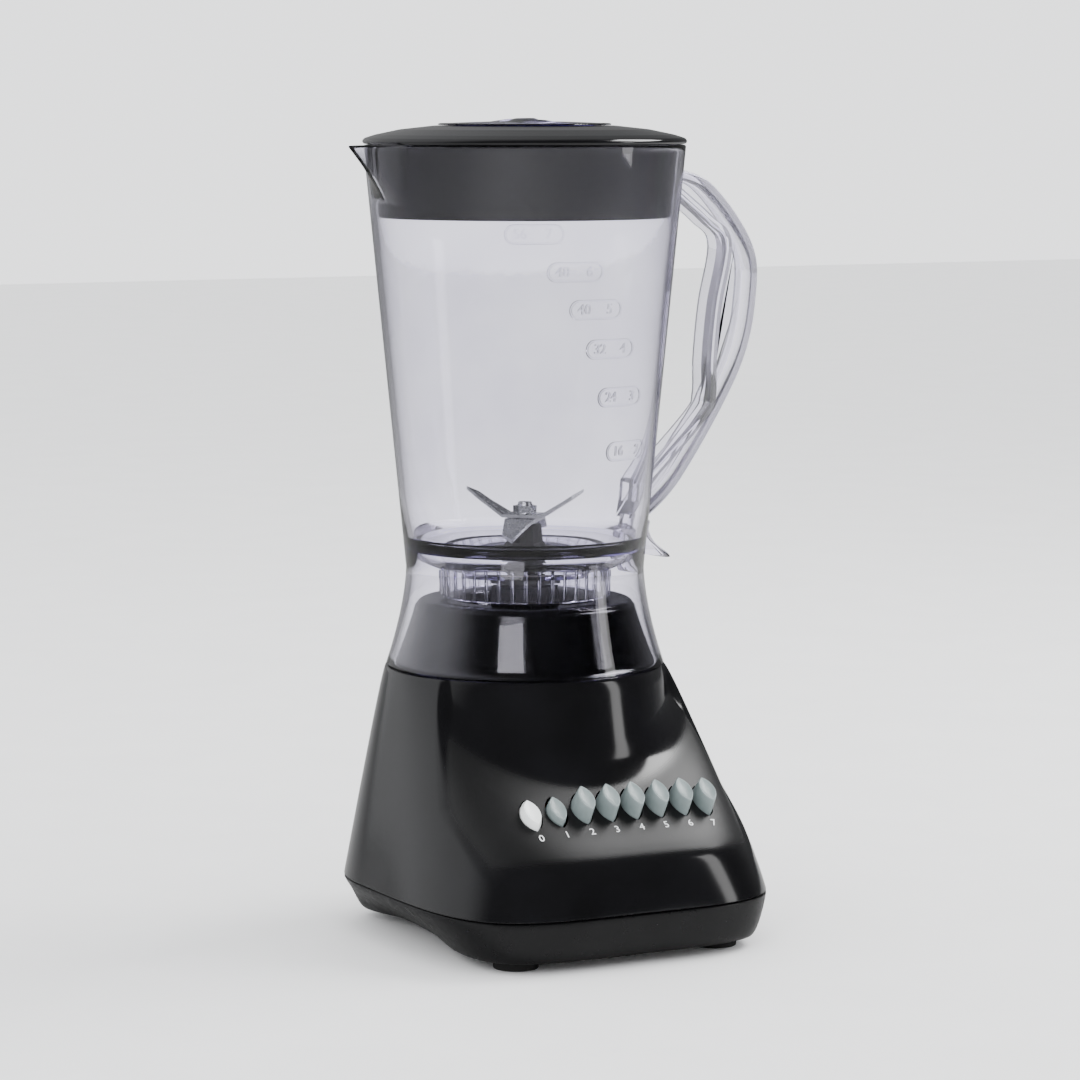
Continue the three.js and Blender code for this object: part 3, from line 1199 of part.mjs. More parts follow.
const bearing = (z) => ring(SHAFT_RADIUS + RUNNING, BEARING_RADIUS, z, z + BEARING_LENGTH);
addPart(base, "motor_bearing_upper", bearing(MOTOR_TOP_Z - BEARING_LENGTH), MATERIALS.bronze);
addPart(base, "motor_bearing_lower", bearing(LOWER_BEARING_Z), MATERIALS.bronze);
for (const [side, sideName] of [
  [-1, "left"],
  [1, "right"],
]) {
  addPart(base, `field_coil_${sideName}`, fieldCoil(side), MATERIALS.copper);
  addPart(base, `motor_bolt_${sideName}`, motorBolt(side), MATERIALS.steel);
  addPart(
    base,
    `motor_mount_${sideName}`,
    rod(MOUNT_RADIUS - 1, MOUNT_FOOT_Z, MOUNT_FOOT_Z + MOUNT_HEIGHT, side * MOTOR_BOLT_X, 0, COARSE),
    MATERIALS.rubber,
  );
}
for (const [side, sideName] of [
  [-1, "front"],
  [1, "rear"],
]) {
  addPart(base, `brush_holder_${sideName}`, brushHolder(side), MATERIALS.bronze);
  addPart(base, `carbon_brush_${sideName}`, carbonBrush(side), MATERIALS.carbon);
}
addPart(
  base,
  "shaft_seal",
  turned(
    [
      [SHAFT_RADIUS + 0.5, CUP_FLOOR_Z - WALL],
      [SEAL_RADIUS, CUP_FLOOR_Z - WALL],
      [SEAL_RADIUS, CUP_FLOOR_Z + GAP],
      [SEAL_RADIUS + 2, CUP_FLOOR_Z + GAP],
      [SEAL_RADIUS + 1.5, CUP_FLOOR_Z + 1.6],
      [SHAFT_RADIUS + 0.5, CUP_FLOOR_Z + 1.6],
    ],
    COARSE,
  ),
  MATERIALS.rubber,
);
blender.add(base);

const rotor = new THREE.Group();
addPart(rotor, "motor_shaft", motorShaft(), MATERIALS.steel);
addPart(rotor, "armature_core", armatureCore(), MATERIALS.laminations);
addPart(rotor, "armature_windings", armatureWindings(), MATERIALS.copper);
addPart(rotor, "commutator", commutator(), MATERIALS.copper);
addPart(rotor, "cooling_fan", coolingFan(), MATERIALS.nylon);
addPart(rotor, "drive_coupling", driveCoupling(), MATERIALS.rubber);
blender.add(rotor);

const keys = new THREE.Group();
keys.rotation.x = PANEL_TILT;
keys.position.set(0, ROW_Y, ROW_Z);
BUTTON_NAMES.forEach((keyName, i) => {
  const standsOut = keyName === "off" ? OFF_STAND : BUTTON_STAND;
  const heldDown = keyName === "low" ? BUTTON_STROKE : 0;
  const key = button(rowX(i), standsOut, heldDown);
  const material = keyName === "off" ? MATERIALS.keyWhite : MATERIALS.keyGrey;
  addPart(keys, `button_${keyName}`, key, material, [rowX(i), 0, 0]);
});
blender.add(keys);

const jarGroup = new THREE.Group();
addPart(jarGroup, "jar", jar(), MATERIALS.jarClear);
addPart(jarGroup, "blade_bearing_housing", bladeBearingHousing(), MATERIALS.satinBlack);
addPart(
  jarGroup,
  "jar_gasket",
  ring(HOLDER_RADIUS + 1, HOLDER_FLANGE_RADIUS - 1, WELL_Z + GAP, WELL_Z + GAP + GASKET_THICKNESS),
  MATERIALS.nylon,
);
addPart(
  jarGroup,
  "housing_lock_nut",
  cut(
    rod(LOCK_NUT_RADIUS, LOCK_NUT_TOP_Z - NUT_HEIGHT, LOCK_NUT_TOP_Z, 0, 0, 8),
    rod(HOLDER_RADIUS + GAP, LOCK_NUT_TOP_Z - NUT_HEIGHT - 1, LOCK_NUT_TOP_Z + 1),
  ),
  MATERIALS.satinBlack,
);
addPart(jarGroup, "spindle_bushing_lower", spindleBushing(HOLDER_FOOT_Z + 0.5), MATERIALS.bronze);
const upperBushing = spindleBushing(HOLDER_TOP_Z - BUSH_LENGTH - 0.5);
addPart(jarGroup, "spindle_bushing_upper", upperBushing, MATERIALS.bronze);
blender.add(jarGroup);

const bladeUnit = new THREE.Group();
addPart(bladeUnit, "spindle", spindle(), MATERIALS.steel);
addPart(bladeUnit, "thrust_washer", ring(SPINDLE_RADIUS + GAP, 6, WASHER_Z, WASHER_Z + 1), MATERIALS.steel);
addPart(bladeUnit, "blade_lower", blade(LOWER_BLADE_Z, 26, -8, 45), MATERIALS.steel);
addPart(bladeUnit, "blade_upper", blade(UPPER_BLADE_Z, 28, 13, 135), MATERIALS.steel);
addPart(bladeUnit, "blade_nut", bladeNut(), MATERIALS.steel);
addPart(bladeUnit, "jar_coupling", jarCoupling(), MATERIALS.rubber);
blender.add(bladeUnit);

const lidGroup = new THREE.Group();
addPart(lidGroup, "lid", lid(), MATERIALS.glossBlack);
addPart(lidGroup, "filler_cap", fillerCap(), MATERIALS.capClear);
blender.add(lidGroup);

const bounds = new THREE.Box3().setFromObject(blender, true);
blender.position.set(-(bounds.min.x + bounds.max.x) / 2, -(bounds.min.y + bounds.max.y) / 2, -bounds.min.z);

const assembly = new THREE.Group();
assembly.add(blender);

export default assembly;
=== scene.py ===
# %% [markdown]
# # A countertop blender around its solid frame
# The solids of the blender are already made and packed, with their joints. This script loads them,
# replaces the coarse outer solids with fine surfaces, gives everything a finish, and lights it.
# Everything is in metres, in the frame of the solids: +Z up, the control panel facing -Y.

import json
import math

import bmesh
import bpy
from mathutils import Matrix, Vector

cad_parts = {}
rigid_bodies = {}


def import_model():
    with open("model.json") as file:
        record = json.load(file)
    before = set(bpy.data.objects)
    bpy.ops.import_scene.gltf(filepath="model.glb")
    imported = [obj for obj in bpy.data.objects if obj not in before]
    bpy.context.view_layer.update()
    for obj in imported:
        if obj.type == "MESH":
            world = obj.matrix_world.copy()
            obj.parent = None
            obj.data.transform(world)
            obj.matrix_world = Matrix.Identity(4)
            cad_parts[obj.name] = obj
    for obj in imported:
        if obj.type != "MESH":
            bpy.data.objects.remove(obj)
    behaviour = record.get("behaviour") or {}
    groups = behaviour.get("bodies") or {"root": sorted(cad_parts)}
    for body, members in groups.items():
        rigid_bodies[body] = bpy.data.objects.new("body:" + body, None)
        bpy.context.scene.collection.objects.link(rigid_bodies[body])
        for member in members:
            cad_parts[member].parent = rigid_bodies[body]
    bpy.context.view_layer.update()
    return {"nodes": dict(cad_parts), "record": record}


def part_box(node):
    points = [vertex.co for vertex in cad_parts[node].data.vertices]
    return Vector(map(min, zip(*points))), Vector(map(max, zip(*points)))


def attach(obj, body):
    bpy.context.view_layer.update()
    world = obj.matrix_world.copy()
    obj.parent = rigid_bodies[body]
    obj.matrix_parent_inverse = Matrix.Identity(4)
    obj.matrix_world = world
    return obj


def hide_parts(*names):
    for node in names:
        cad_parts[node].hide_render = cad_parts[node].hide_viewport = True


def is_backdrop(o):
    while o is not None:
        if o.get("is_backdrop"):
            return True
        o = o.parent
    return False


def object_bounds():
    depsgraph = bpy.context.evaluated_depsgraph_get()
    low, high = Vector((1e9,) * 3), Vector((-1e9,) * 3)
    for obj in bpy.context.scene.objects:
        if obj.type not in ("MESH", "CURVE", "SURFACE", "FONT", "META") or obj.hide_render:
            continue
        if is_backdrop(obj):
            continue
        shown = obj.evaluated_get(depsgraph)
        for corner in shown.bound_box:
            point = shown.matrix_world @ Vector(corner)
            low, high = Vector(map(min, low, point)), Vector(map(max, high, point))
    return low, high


for leftover in list(bpy.data.objects):
    bpy.data.objects.remove(leftover)
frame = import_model()
shaft_low, shaft_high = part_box("motor_shaft")
AXIS = (shaft_low + shaft_high) / 2
print("solids:", len(frame["nodes"]), "jar axis at", round(AXIS.x, 4), round(AXIS.y, 4))

# %% [markdown]
# ## Camera
# A long lens from the front left, a little above the lid, keeps the jar's sides nearly parallel.
# It is placed first, because everything afterwards is judged from there.

# %% Camera
CAMERA_PLACE = Vector((-0.8415, -1.5692, 0.3850))
CAMERA_LENS = 129.0
CAMERA_PITCH = 0.1142
CAMERA_AZIMUTH = math.radians(-27.69)

camera_data = bpy.data.cameras.new("camera")
camera_data.lens = CAMERA_LENS
camera_data.sensor_width = 36
camera = bpy.data.objects.new("camera", camera_data)
camera.location = CAMERA_PLACE
camera.rotation_euler = (math.pi / 2 - CAMERA_PITCH, 0, CAMERA_AZIMUTH)
bpy.context.scene.collection.objects.link(camera)
bpy.context.scene.camera = camera
print("camera lens", CAMERA_LENS, "mm")

# %% [markdown]
# ## The sizes that the fine surfaces follow
# The outer shapes are rules: a radius for each height and each direction around the jar's axis.
# The solids were made from the same rules, so the fine surfaces lie where the solids are.
# Heights and radii are in millimetres here, and become metres when a mesh is made.

# %% Levels and small functions
WALL = 3.0
GAP = 0.3
SEAM_Z, SHOULDER_Z, DRUM_TOP_Z, SKIRT_Z = 24.0, 122.0, 152.7, 122.3
WAIST_Z, FLOOR_Z, WELL_Z, RIM_Z = 167.7, 179.3, 168.3, 362.9
CUP_FLOOR_Z, CUP_RADIUS = 145.7, 33.0
SHOULDER_RADIUS = 64.9
BASE_HALF_WIDTH = 85.5
PANEL_TILT = math.radians(38)


def clamp01(value):
    return min(max(value, 0.0), 1.0)


def smooth_step(value):
    value = clamp01(value)
    return value * value * (3 - 2 * value)


def smooth_min(a, b, reach):
    near = max(reach - abs(a - b), 0) / reach
    return min(a, b) - near * near * reach / 4


def spaced(start, end, steps):
    return [start + (end - start) * i / steps for i in range(steps + 1)]


def jar_radius(z):
    if z >= WAIST_Z:
        return 55.4 + 0.0975 * (z - WAIST_Z)
    return 55.4 + 9.5 * ((WAIST_Z - z) / 45.4) ** 1.6


def drum_radius(z):
    return jar_radius(z) - 3.9 - 2.7 * clamp01((z - SHOULDER_Z) / 30.7)


print("jar radius at the rim:", round(jar_radius(RIM_Z), 1), "mm")

# %% [markdown]
# A superellipse is a circle whose exponent makes it squarer. The base is round at the shoulder and
# grows squarer and wider towards the seam, and the front has a scoop for the sloping panel.


# %% The base's rules
def superellipse(angle, a, b, exponent):
    across = abs(math.cos(angle)) / a
    along = abs(math.sin(angle)) / b
    return (across**exponent + along**exponent) ** (-1 / exponent)


def base_radius(z, angle):
    drop = clamp01((SHOULDER_Z - z) / 98)
    half_width = SHOULDER_RADIUS + (BASE_HALF_WIDTH - SHOULDER_RADIUS) * drop
    if math.sin(angle) > 0:
        return superellipse(angle, half_width, SHOULDER_RADIUS, 2 + 0.45 * math.sqrt(drop))
    reach = SHOULDER_RADIUS + 51.3 * (1 - (1 - drop) ** 1.45)
    return superellipse(angle, half_width, reach, 2 + 2.28 * drop**0.8)


def panel_radius(z, angle):
    reach = 109 - (z - 50) / math.tan(PANEL_TILT)
    return superellipse(angle, 77, max(reach, 1), 4)


def scoop_share(z, angle):
    """1 inside the scoop, 0 on the wings beside it, and in between along its soft edge."""
    from_front = abs(angle + math.pi / 2)
    above = z - 68
    edge = math.radians(50 + above * (0.22 if above > 0 else 0.65))
    return smooth_step((edge - from_front) / math.radians(5) + 0.5)


def housing_radius(z, angle):
    outer = base_radius(z, angle)
    if math.sin(angle) > 0:
        return outer
    tower = 64.5 + 0.17 * (SHOULDER_Z - z)
    scooped = -smooth_min(-panel_radius(z, angle), -tower, 16)
    return outer + scoop_share(z, angle) * (smooth_min(outer, scooped, 5) - outer)


def cover_radius(z, angle):
    drop = clamp01((SEAM_Z - z) / 19)
    from_front = math.degrees(abs(math.atan2(math.cos(angle), -math.sin(angle))))
    side = smooth_step((from_front - 28) / 34) * smooth_step((128 - from_front) / 34)
    corner = 5 * (1 - math.sqrt(1 - drop * drop))
    return base_radius(SEAM_Z, angle) - corner - side * (24.5 * drop**1.3 - corner)


print("front of the base:", round(housing_radius(30, -math.pi / 2), 1), "mm from the axis")

# %% [markdown]
# ## Making meshes
# Most pieces are rings of points joined by quads, as a turner would see them. `ring_mesh` joins each
# ring to the next, and the last to the first when the outline is closed. Points are in millimetres
# from the jar's axis, and the mesh gets metres in the frame, so no object is ever moved.


# %% Mesh helpers
def finish_mesh(name, mesh, material, body, replaced=(), sharp=35):
    mesh.set_sharp_from_angle(angle=math.radians(sharp))
    for face in mesh.polygons:
        face.use_smooth = True
    piece = bpy.data.objects.new(name, mesh)
    bpy.context.scene.collection.objects.link(piece)
    if not mesh.materials:
        mesh.materials.append(material)
    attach(piece, body)
    if replaced:
        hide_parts(*replaced)
    return piece


def in_metres(point):
    return (AXIS.x + point[0] / 1000, AXIS.y + point[1] / 1000, point[2] / 1000)


def mesh_of(name, points, faces):
    mesh = bpy.data.meshes.new(name)
    mesh.from_pydata([in_metres(p) for p in points], [], faces)
    mesh.update()
    return mesh


def ring_mesh(name, rings, closed=False):
    """Rings of equally many points, joined in order. Open ends are capped with one face each."""
    count = len(rings[0])
    points = [p for ring in rings for p in ring]
    faces = []
    steps = len(rings) if closed else len(rings) - 1
    for i in range(steps):
        a, b = i * count, ((i + 1) % len(rings)) * count
        for j in range(count):
            k = (j + 1) % count
            faces.append((a + j, a + k, b + k, b + j))
    if not closed:
        faces.append(tuple(reversed(range(count))))
        faces.append(tuple(range(len(points) - count, len(points))))
    mesh = mesh_of(name, points, faces)
    shell = bmesh.new()
    shell.from_mesh(mesh)
    bmesh.ops.remove_doubles(shell, verts=shell.verts, dist=1e-7)
    bmesh.ops.dissolve_degenerate(shell, edges=shell.edges, dist=1e-7)
    if shell.calc_volume(signed=True) < 0:
        bmesh.ops.reverse_faces(shell, faces=shell.faces)
    shell.to_mesh(mesh)
    shell.free()
    return mesh


def turn(outline, sides, x=0.0, y=0.0):
    """Rings for a turned shape: the outline is a list of (radius, height)."""
    return [
        [
            (x + r * math.cos(2 * math.pi * j / sides), y + r * math.sin(2 * math.pi * j / sides), z)
            for j in range(sides)
        ]
        for r, z in outline
    ]


def rounded(outline, radius, steps=4):
    """Rounds the corners of a (radius, height) outline with small arcs of at most `radius`."""
    result = []
    for i, here in enumerate(outline):
        before, after = Vector(outline[i - 1]), Vector(outline[(i + 1) % len(outline)])
        corner = Vector(here)
        into, out = (before - corner), (after - corner)
        reach = min(radius, into.length / 2.2, out.length / 2.2)
        if reach < 1e-4 or here[0] == 0:
            result.append(here)
            continue
        start, end = corner + into.normalized() * reach, corner + out.normalized() * reach
        for t in spaced(0, 1, steps):
            point = start.lerp(corner, t).lerp(corner.lerp(end, t), t)
            result.append((point.x, point.y))
    return result


def join_solids(mesh, others, operation):
    """One mesh from a closed mesh and others, joined to it or cut from it."""
    host = bpy.data.objects.new("host", mesh)
    bpy.context.scene.collection.objects.link(host)
    helpers = []
    for other in others:
        helper = bpy.data.objects.new("helper", other)
        bpy.context.scene.collection.objects.link(helper)
        helpers.append(helper)
        modifier = host.modifiers.new("join", "BOOLEAN")
        modifier.object = helper
        modifier.operation = operation
        modifier.solver = "MANIFOLD"
    result = bpy.data.meshes.new_from_object(
        host.evaluated_get(bpy.context.evaluated_depsgraph_get())
    )
    for thing in [host, *helpers]:
        bpy.data.objects.remove(thing)
    result.materials.clear()
    return result


def prism(name, outline, z0, z1, place, taper=1.0):
    """A closed prism of a flat outline, with each point put in place by a function."""
    rings = [
        [place((x * s, y * s, z)) for x, y in outline] for z, s in ((z0, 1.0), (z1, taper))
    ]
    return ring_mesh(name, rings)


print("mesh helpers ready")


# %% [markdown]
# ## Making materials
# Each material is a small tree of nodes. One function adds a node and fills its inputs, and another
# makes the usual start: a shader whose colour wanders a little, whose roughness is broken up, and
# whose surface has a fine relief. Sizes of patterns are given in millimetres.


# %% Material helpers
def colour(text):
    parts = [int(text[i : i + 2], 16) / 255 for i in (1, 3, 5)]
    linear = [v / 12.92 if v <= 0.04045 else ((v + 0.055) / 1.055) ** 2.4 for v in parts]
    return (*linear, 1.0)


def add(tree, kind, inputs=None, **settings):
    """Adds a node. An input's value is a number or colour, or another node's output to link from."""
    node = tree.nodes.new(kind)
    for name, value in settings.items():
        setattr(node, name, value)
    for name, value in (inputs or {}).items():
        socket = node.inputs[name]
        if isinstance(value, bpy.types.NodeSocket):
            tree.links.new(value, socket)
        else:
            socket.default_value = value
    return node


def per_metre(millimetres):
    return 1000 / millimetres


def noise(tree, place, size_mm, detail=3.0):
    inputs = {"Vector": place, "Scale": per_metre(size_mm), "Detail": detail}
    return add(tree, "ShaderNodeTexNoise", inputs).outputs["Fac"]


def spread(tree, value, low, high):
    """Maps the middle of a noise onto the range from low to high."""
    inputs = {"Value": value, "From Min": 0.3, "From Max": 0.7, "To Min": low, "To Max": high}
    return add(tree, "ShaderNodeMapRange", inputs).outputs["Result"]


def mixed(tree, share, first, second):
    inputs = {"Factor": share, 6: first, 7: second}
    return add(tree, "ShaderNodeMix", inputs, data_type="RGBA").outputs[2]


def surface(name, tones, rough, relief_mm=0.4, relief_height=0.01, patch_mm=18, **fixed):
    """A material with two tones, a range of roughness and a fine relief; `fixed` are shader sockets."""
    material = bpy.data.materials.new(name)
    material.use_nodes = True
    tree = material.node_tree
    shader = tree.nodes["Principled BSDF"]
    place = add(tree, "ShaderNodeTexCoord").outputs["Object"]
    patches = spread(tree, noise(tree, place, patch_mm), 0, 1)
    tone = mixed(tree, patches, colour(tones[0]), colour(tones[1]))
    tree.links.new(tone, shader.inputs["Base Color"])
    broken = spread(tree, noise(tree, place, relief_mm * 6), rough[0], rough[1])
    tree.links.new(broken, shader.inputs["Roughness"])
    grain = noise(tree, place, relief_mm, 2.0)
    bump_inputs = {"Height": grain, "Strength": 1.0, "Distance": relief_height / 1000}
    bump = add(tree, "ShaderNodeBump", bump_inputs)
    tree.links.new(bump.outputs["Normal"], shader.inputs["Normal"])
    for socket, value in fixed.items():
        shader.inputs[socket.replace("_", " ")].default_value = value
    return material


print("material helpers ready")

# %% [markdown]
# ## The plastics
# The housing and lid are injection-moulded ABS from polished tools, so they are nearly black with
# sharp highlights and the faintest waviness. The panel and the cover come from spark-eroded tools,
# which leave a fine even grain that scatters the light and looks greyer.

# %% Plastics
MATERIALS = {
    # Polished ABS: a mirror-like skin over black, faintly uneven from shrinkage.
    "housing_gloss_black": surface(
        "ABS gloss moulded", ("#0b0b0c", "#101012"), (0.08, 0.15), 9, 0.012, 30, IOR=1.54
    ),
    "lid_gloss_black": surface(
        "ABS gloss moulded lid", ("#0a0a0b", "#0f0f11"), (0.07, 0.14), 8, 0.012, 25, IOR=1.54
    ),
    "cover_satin_black": surface(
        "ABS satin moulded", ("#0a0a0b", "#0e0e0f"), (0.26, 0.38), 0.6, 0.03, 16, IOR=1.54,
        Specular_IOR_Level=0.3,
    ),
    # Moulded keys in grey and white ABS, rubbed smooth by fingers.
    "key_grey": surface(
        "ABS grey key", ("#727d7d", "#7d8888"), (0.30, 0.44), 0.5, 0.015, 6, IOR=1.53
    ),
    "key_white": surface(
        "ABS white key", ("#e2e6e5", "#eceeed"), (0.26, 0.40), 0.5, 0.015, 6, IOR=1.53
    ),
    # Rubber with a dry bloom, almost without highlights.
    "foot_rubber": surface(
        "rubber moulded foot", ("#141414", "#1d1d1c"), (0.65, 0.85), 0.4, 0.04, 5
    ),
    "clutch_rubber": surface(
        "rubber clutch", ("#161616", "#202020"), (0.6, 0.8), 0.5, 0.05, 6
    ),
    # Phenolic and nylon parts of the motor: dull browns and ivory.
    "phenolic": surface("phenolic laminate", ("#5a3a22", "#6d482c"), (0.4, 0.55), 0.3, 0.03, 3),
    "nylon": surface("nylon moulded", ("#d9d3c2", "#e4dfd0"), (0.3, 0.45), 0.6, 0.02, 8),
    "holder_black": surface("nylon glass filled", ("#18181a", "#222224"), (0.4, 0.55), 0.3, 0.03),
    "carbon": surface("carbon pressed", ("#1c1d1f", "#292a2d"), (0.5, 0.7), 0.2, 0.03, 2),
}
print("plastics:", len(MATERIALS))

# %% [markdown]
# The panel is in the same moulding as the gloss housing, but its tool was spark-eroded there. The
# mesh carries an attribute that is 1 on the panel, and it blends roughness and grain over the gloss.

# %% Grain on the panel
def grain_where_marked(material, rough=0.46, grain_mm=0.5, height=0.035):
    tree = material.node_tree
    shader = tree.nodes["Principled BSDF"]
    marked = add(tree, "ShaderNodeAttribute", attribute_name="grained").outputs["Fac"]
    gloss = shader.inputs["Roughness"].links[0].from_socket
    inputs = {0: marked, 2: gloss, 3: rough}
    blend = add(tree, "ShaderNodeMix", inputs, data_type="FLOAT")
    tree.links.new(blend.outputs[0], shader.inputs["Roughness"])
    place = add(tree, "ShaderNodeTexCoord").outputs["Object"]
    grain = noise(tree, place, grain_mm, 2.0)
    under = shader.inputs["Normal"].links[0].from_socket
    inputs = {"Height": grain, "Strength": marked, "Distance": height / 1000, "Normal": under}
    bump = add(tree, "ShaderNodeBump", inputs)
    tree.links.new(bump.outputs["Normal"], shader.inputs["Normal"])


grain_where_marked(MATERIALS["housing_gloss_black"])
print("the panel's grain is in", MATERIALS["housing_gloss_black"].name)

# %% [markdown]
# ## The metals
# Bare metal has no colour under its gloss, so the tone is its reflection. Turned and ground steel
# shows fine rings left by the tool, the laminations show the edges of their sheets, and the copper
# wire is lacquered, with a thread across it for each turn.


# %% Metals
def metal(name, tones, rough, stripe_mm=0.0, across="Z", depth=0.02, patch_mm=6):
    material = surface(name, tones, rough, 0.25, 0.004, patch_mm, Metallic=1.0)
    if not stripe_mm:
        return material
    tree = material.node_tree
    place = add(tree, "ShaderNodeTexCoord").outputs["Object"]
    inputs = {"Vector": place, "Scale": per_metre(stripe_mm) / 20 * math.pi, "Distortion": 0.4}
    wave = add(tree, "ShaderNodeTexWave", inputs, bands_direction=across)
    fine = next(n for n in tree.nodes if n.bl_idname == "ShaderNodeBump")
    inputs = {"Height": wave.outputs["Fac"], "Distance": depth / 1000}
    inputs["Normal"] = fine.outputs["Normal"]
    lines = add(tree, "ShaderNodeBump", inputs)
    tree.links.new(lines.outputs["Normal"], tree.nodes["Principled BSDF"].inputs["Normal"])
    return material


MATERIALS.update(
    {
        # Ground stainless steel blades: bright, with short scratches from the stone.
        "blade_steel": metal("stainless ground", ("#c9cbcd", "#d6d8da"), (0.18, 0.30)),
        "turned_steel": metal("steel turned", ("#b4b6b8", "#c4c6c8"), (0.22, 0.34), 0.5),
        "laminations": metal("steel laminated", ("#6d6f73", "#85878b"), (0.4, 0.55), 0.8, "Z", 0.1),
        "copper": metal("copper lacquered", ("#b4602e", "#c8743c"), (0.22, 0.36), 0.9, "Z", 0.15),
        "bronze": metal("bronze sintered", ("#a07a3c", "#b58c4a"), (0.35, 0.5)),
        "bracket_alloy": metal("zinc alloy cast", ("#9a9c9e", "#adafb1"), (0.38, 0.52)),
    }
)
print("materials so far:", len(MATERIALS))

# %% [markdown]
# ## The clear plastic
# The jar and the filler cap are moulded in a clear copolyester. It is nearly colourless through one
# wall, and violet where one looks along a wall, as at the handle's rim and the spout's edges. A
# weak absorption inside the body gives exactly that, because it grows with the depth of plastic.


# %% Clear plastic
def clear_plastic(name, tones, rough, density, fog="#e4def8"):
    material = surface(name, tones, rough, 14, 0.02, 30, Transmission_Weight=1.0, IOR=1.5)
    tree = material.node_tree
    inputs = {"Color": colour(fog), "Density": density}
    inside = add(tree, "ShaderNodeVolumeAbsorption", inputs)
    tree.links.new(inside.outputs[0], tree.nodes["Material Output"].inputs["Volume"])
    return material


MATERIALS["jar_clear"] = clear_plastic(
    "copolyester clear moulded", ("#f4f3f9", "#fcfcff"), (0.01, 0.04), 50
)
# The handle looks a little milky, because its thick plastic scatters some light inside.
tree = MATERIALS["jar_clear"].node_tree
milky = add(tree, "ShaderNodeAttribute", attribute_name="milky").outputs["Fac"]
clear = add(tree, "ShaderNodeMath", {0: 1.0, 1: milky}, operation="SUBTRACT").outputs[0]
tree.links.new(clear, tree.nodes["Principled BSDF"].inputs["Transmission Weight"])
MATERIALS["cap_clear"] = clear_plastic(
    "copolyester clear cap", ("#dcd6f0", "#e6e0f8"), (0.05, 0.10), 120
)

slot_of = {entry["node"]: entry["material_slot"] for entry in frame["record"]["subparts"]}
print("solids with a finish named in the record:", len(slot_of))

# %% [markdown]
# ## The bottom cover
# A satin tray closes the base from below. Its corners are soft, its upper edge meets the gloss
# housing at a fine seam, and air slots in its floor cool the motor. Rings of points from the rule
# give the outside and the inside; the slots are cut through its floor.

# %% Bottom cover
# Directions round the jar's axis, with finer steps where the edges of the scoop run.
FINE_STEP, PLAIN_STEP = 0.4, 1.2
TURN = []
angle = -180.0
while angle < 179.9:
    TURN.append(math.radians(angle))
    angle += FINE_STEP if 34 < abs(angle + 90) < 66 else PLAIN_STEP


def rule_ring(rule, z, inset=0.0, height=None):
    ring = []
    for angle in TURN:
        r = rule(z, angle) - inset
        ring.append((r * math.cos(angle), r * math.sin(angle), z if height is None else height))
    return ring


def shrunk(ring, share, z):
    return [(x * share, y * share, z) for x, y, _ in ring]


foot_ring = rule_ring(cover_radius, 5.0)
outside = [shrunk(foot_ring, s, 5.0) for s in (0.08, 0.5, 0.97)]
outside += [rule_ring(cover_radius, z) for z in (5, 5.15, 5.5, 6.2, 7.2, 8.5, 10, 12, 14.5, 17.5)]
outside += [rule_ring(cover_radius, z) for z in (20.5, 22.8)]
outside += [rule_ring(cover_radius, 23.4, 0.15), rule_ring(cover_radius, 23.7, 0.6)]
inside = [rule_ring(cover_radius, z - 1.8, 3.0, z) for z in (23.7, 20, 16, 12.5, 10, 8.4)]
inside += [shrunk(rule_ring(cover_radius, 6.6, 3.0), s, 8.0) for s in (0.97, 0.5, 0.08)]
cover_mesh = ring_mesh("bottom_cover_shell", outside + inside)


def slot_outline(length, width, steps=8):
    points = []
    for end in (1, -1):
        for t in spaced(-90, 90, steps):
            angle = math.radians(t if end > 0 else t + 180)
            x = end * (length - width) / 2 + width / 2 * math.cos(angle)
            points.append((x, width / 2 * math.sin(angle)))
    return points


VENT_LENGTH, VENT_WIDTH, VENT_REACH, VENT_GAPS = 24, 3, 24.5, 7
vents = []
for y in spaced(-VENT_REACH, VENT_REACH, VENT_GAPS):
    line = slot_outline(VENT_LENGTH, VENT_WIDTH)
    vents.append(prism("vent", line, 3, 10, lambda p, y=y: (p[0], p[1] + y, p[2])))
cover_mesh = join_solids(cover_mesh, vents, "DIFFERENCE")
finish_mesh(
    "cover_shell", cover_mesh, MATERIALS["cover_satin_black"], "base",
    ["bottom_cover"],
)
print("bottom cover faces:", len(cover_mesh.polygons))

# %% [markdown]
# ## The upper housing
# One moulding makes the bumper, the sloping panel with its openings for the keys, the tower and the
# drum that the jar drops over. Fine rings from the rule make it, with the drum and the cup for the
# clutch as turned rings on top, and the openings are cut with the keys' leaf outline.

# %% Upper housing
ROW_Y, ROW_Z, KEY_PITCH = -86.46, 67.61, 12.6
KEY_XS = [2.5 + i * KEY_PITCH - 44.1 for i in range(8)]


def on_panel(point):
    """From the panel's own frame, X along the row and Z standing out, to the jar's axis."""
    x, y, z = point
    c, s = math.cos(PANEL_TILT), math.sin(PANEL_TILT)
    return (x, ROW_Y + y * c - z * s, ROW_Z + y * s + z * c)


def panel_sag(x):
    return 86.46 * (1 - (1 - (abs(x) / 77) ** 4) ** 0.25) * math.sin(PANEL_TILT)


LEAF_TIP = 0.125


def leaf(length, width, steps=14):
    """A pointed leaf, long in Y: two arcs that stop just short of each tip and leave it blunt."""
    half, reach = length / 2, width / 2
    radius = (half * half + reach * reach) / (2 * reach)
    side = []
    for t in spaced(-1, 1, steps):
        y = t * (half - LEAF_TIP)
        side.append((math.sqrt(radius * radius - y * y) - radius + reach, y))
    return side + [(-x, y) for x, y in reversed(side)]


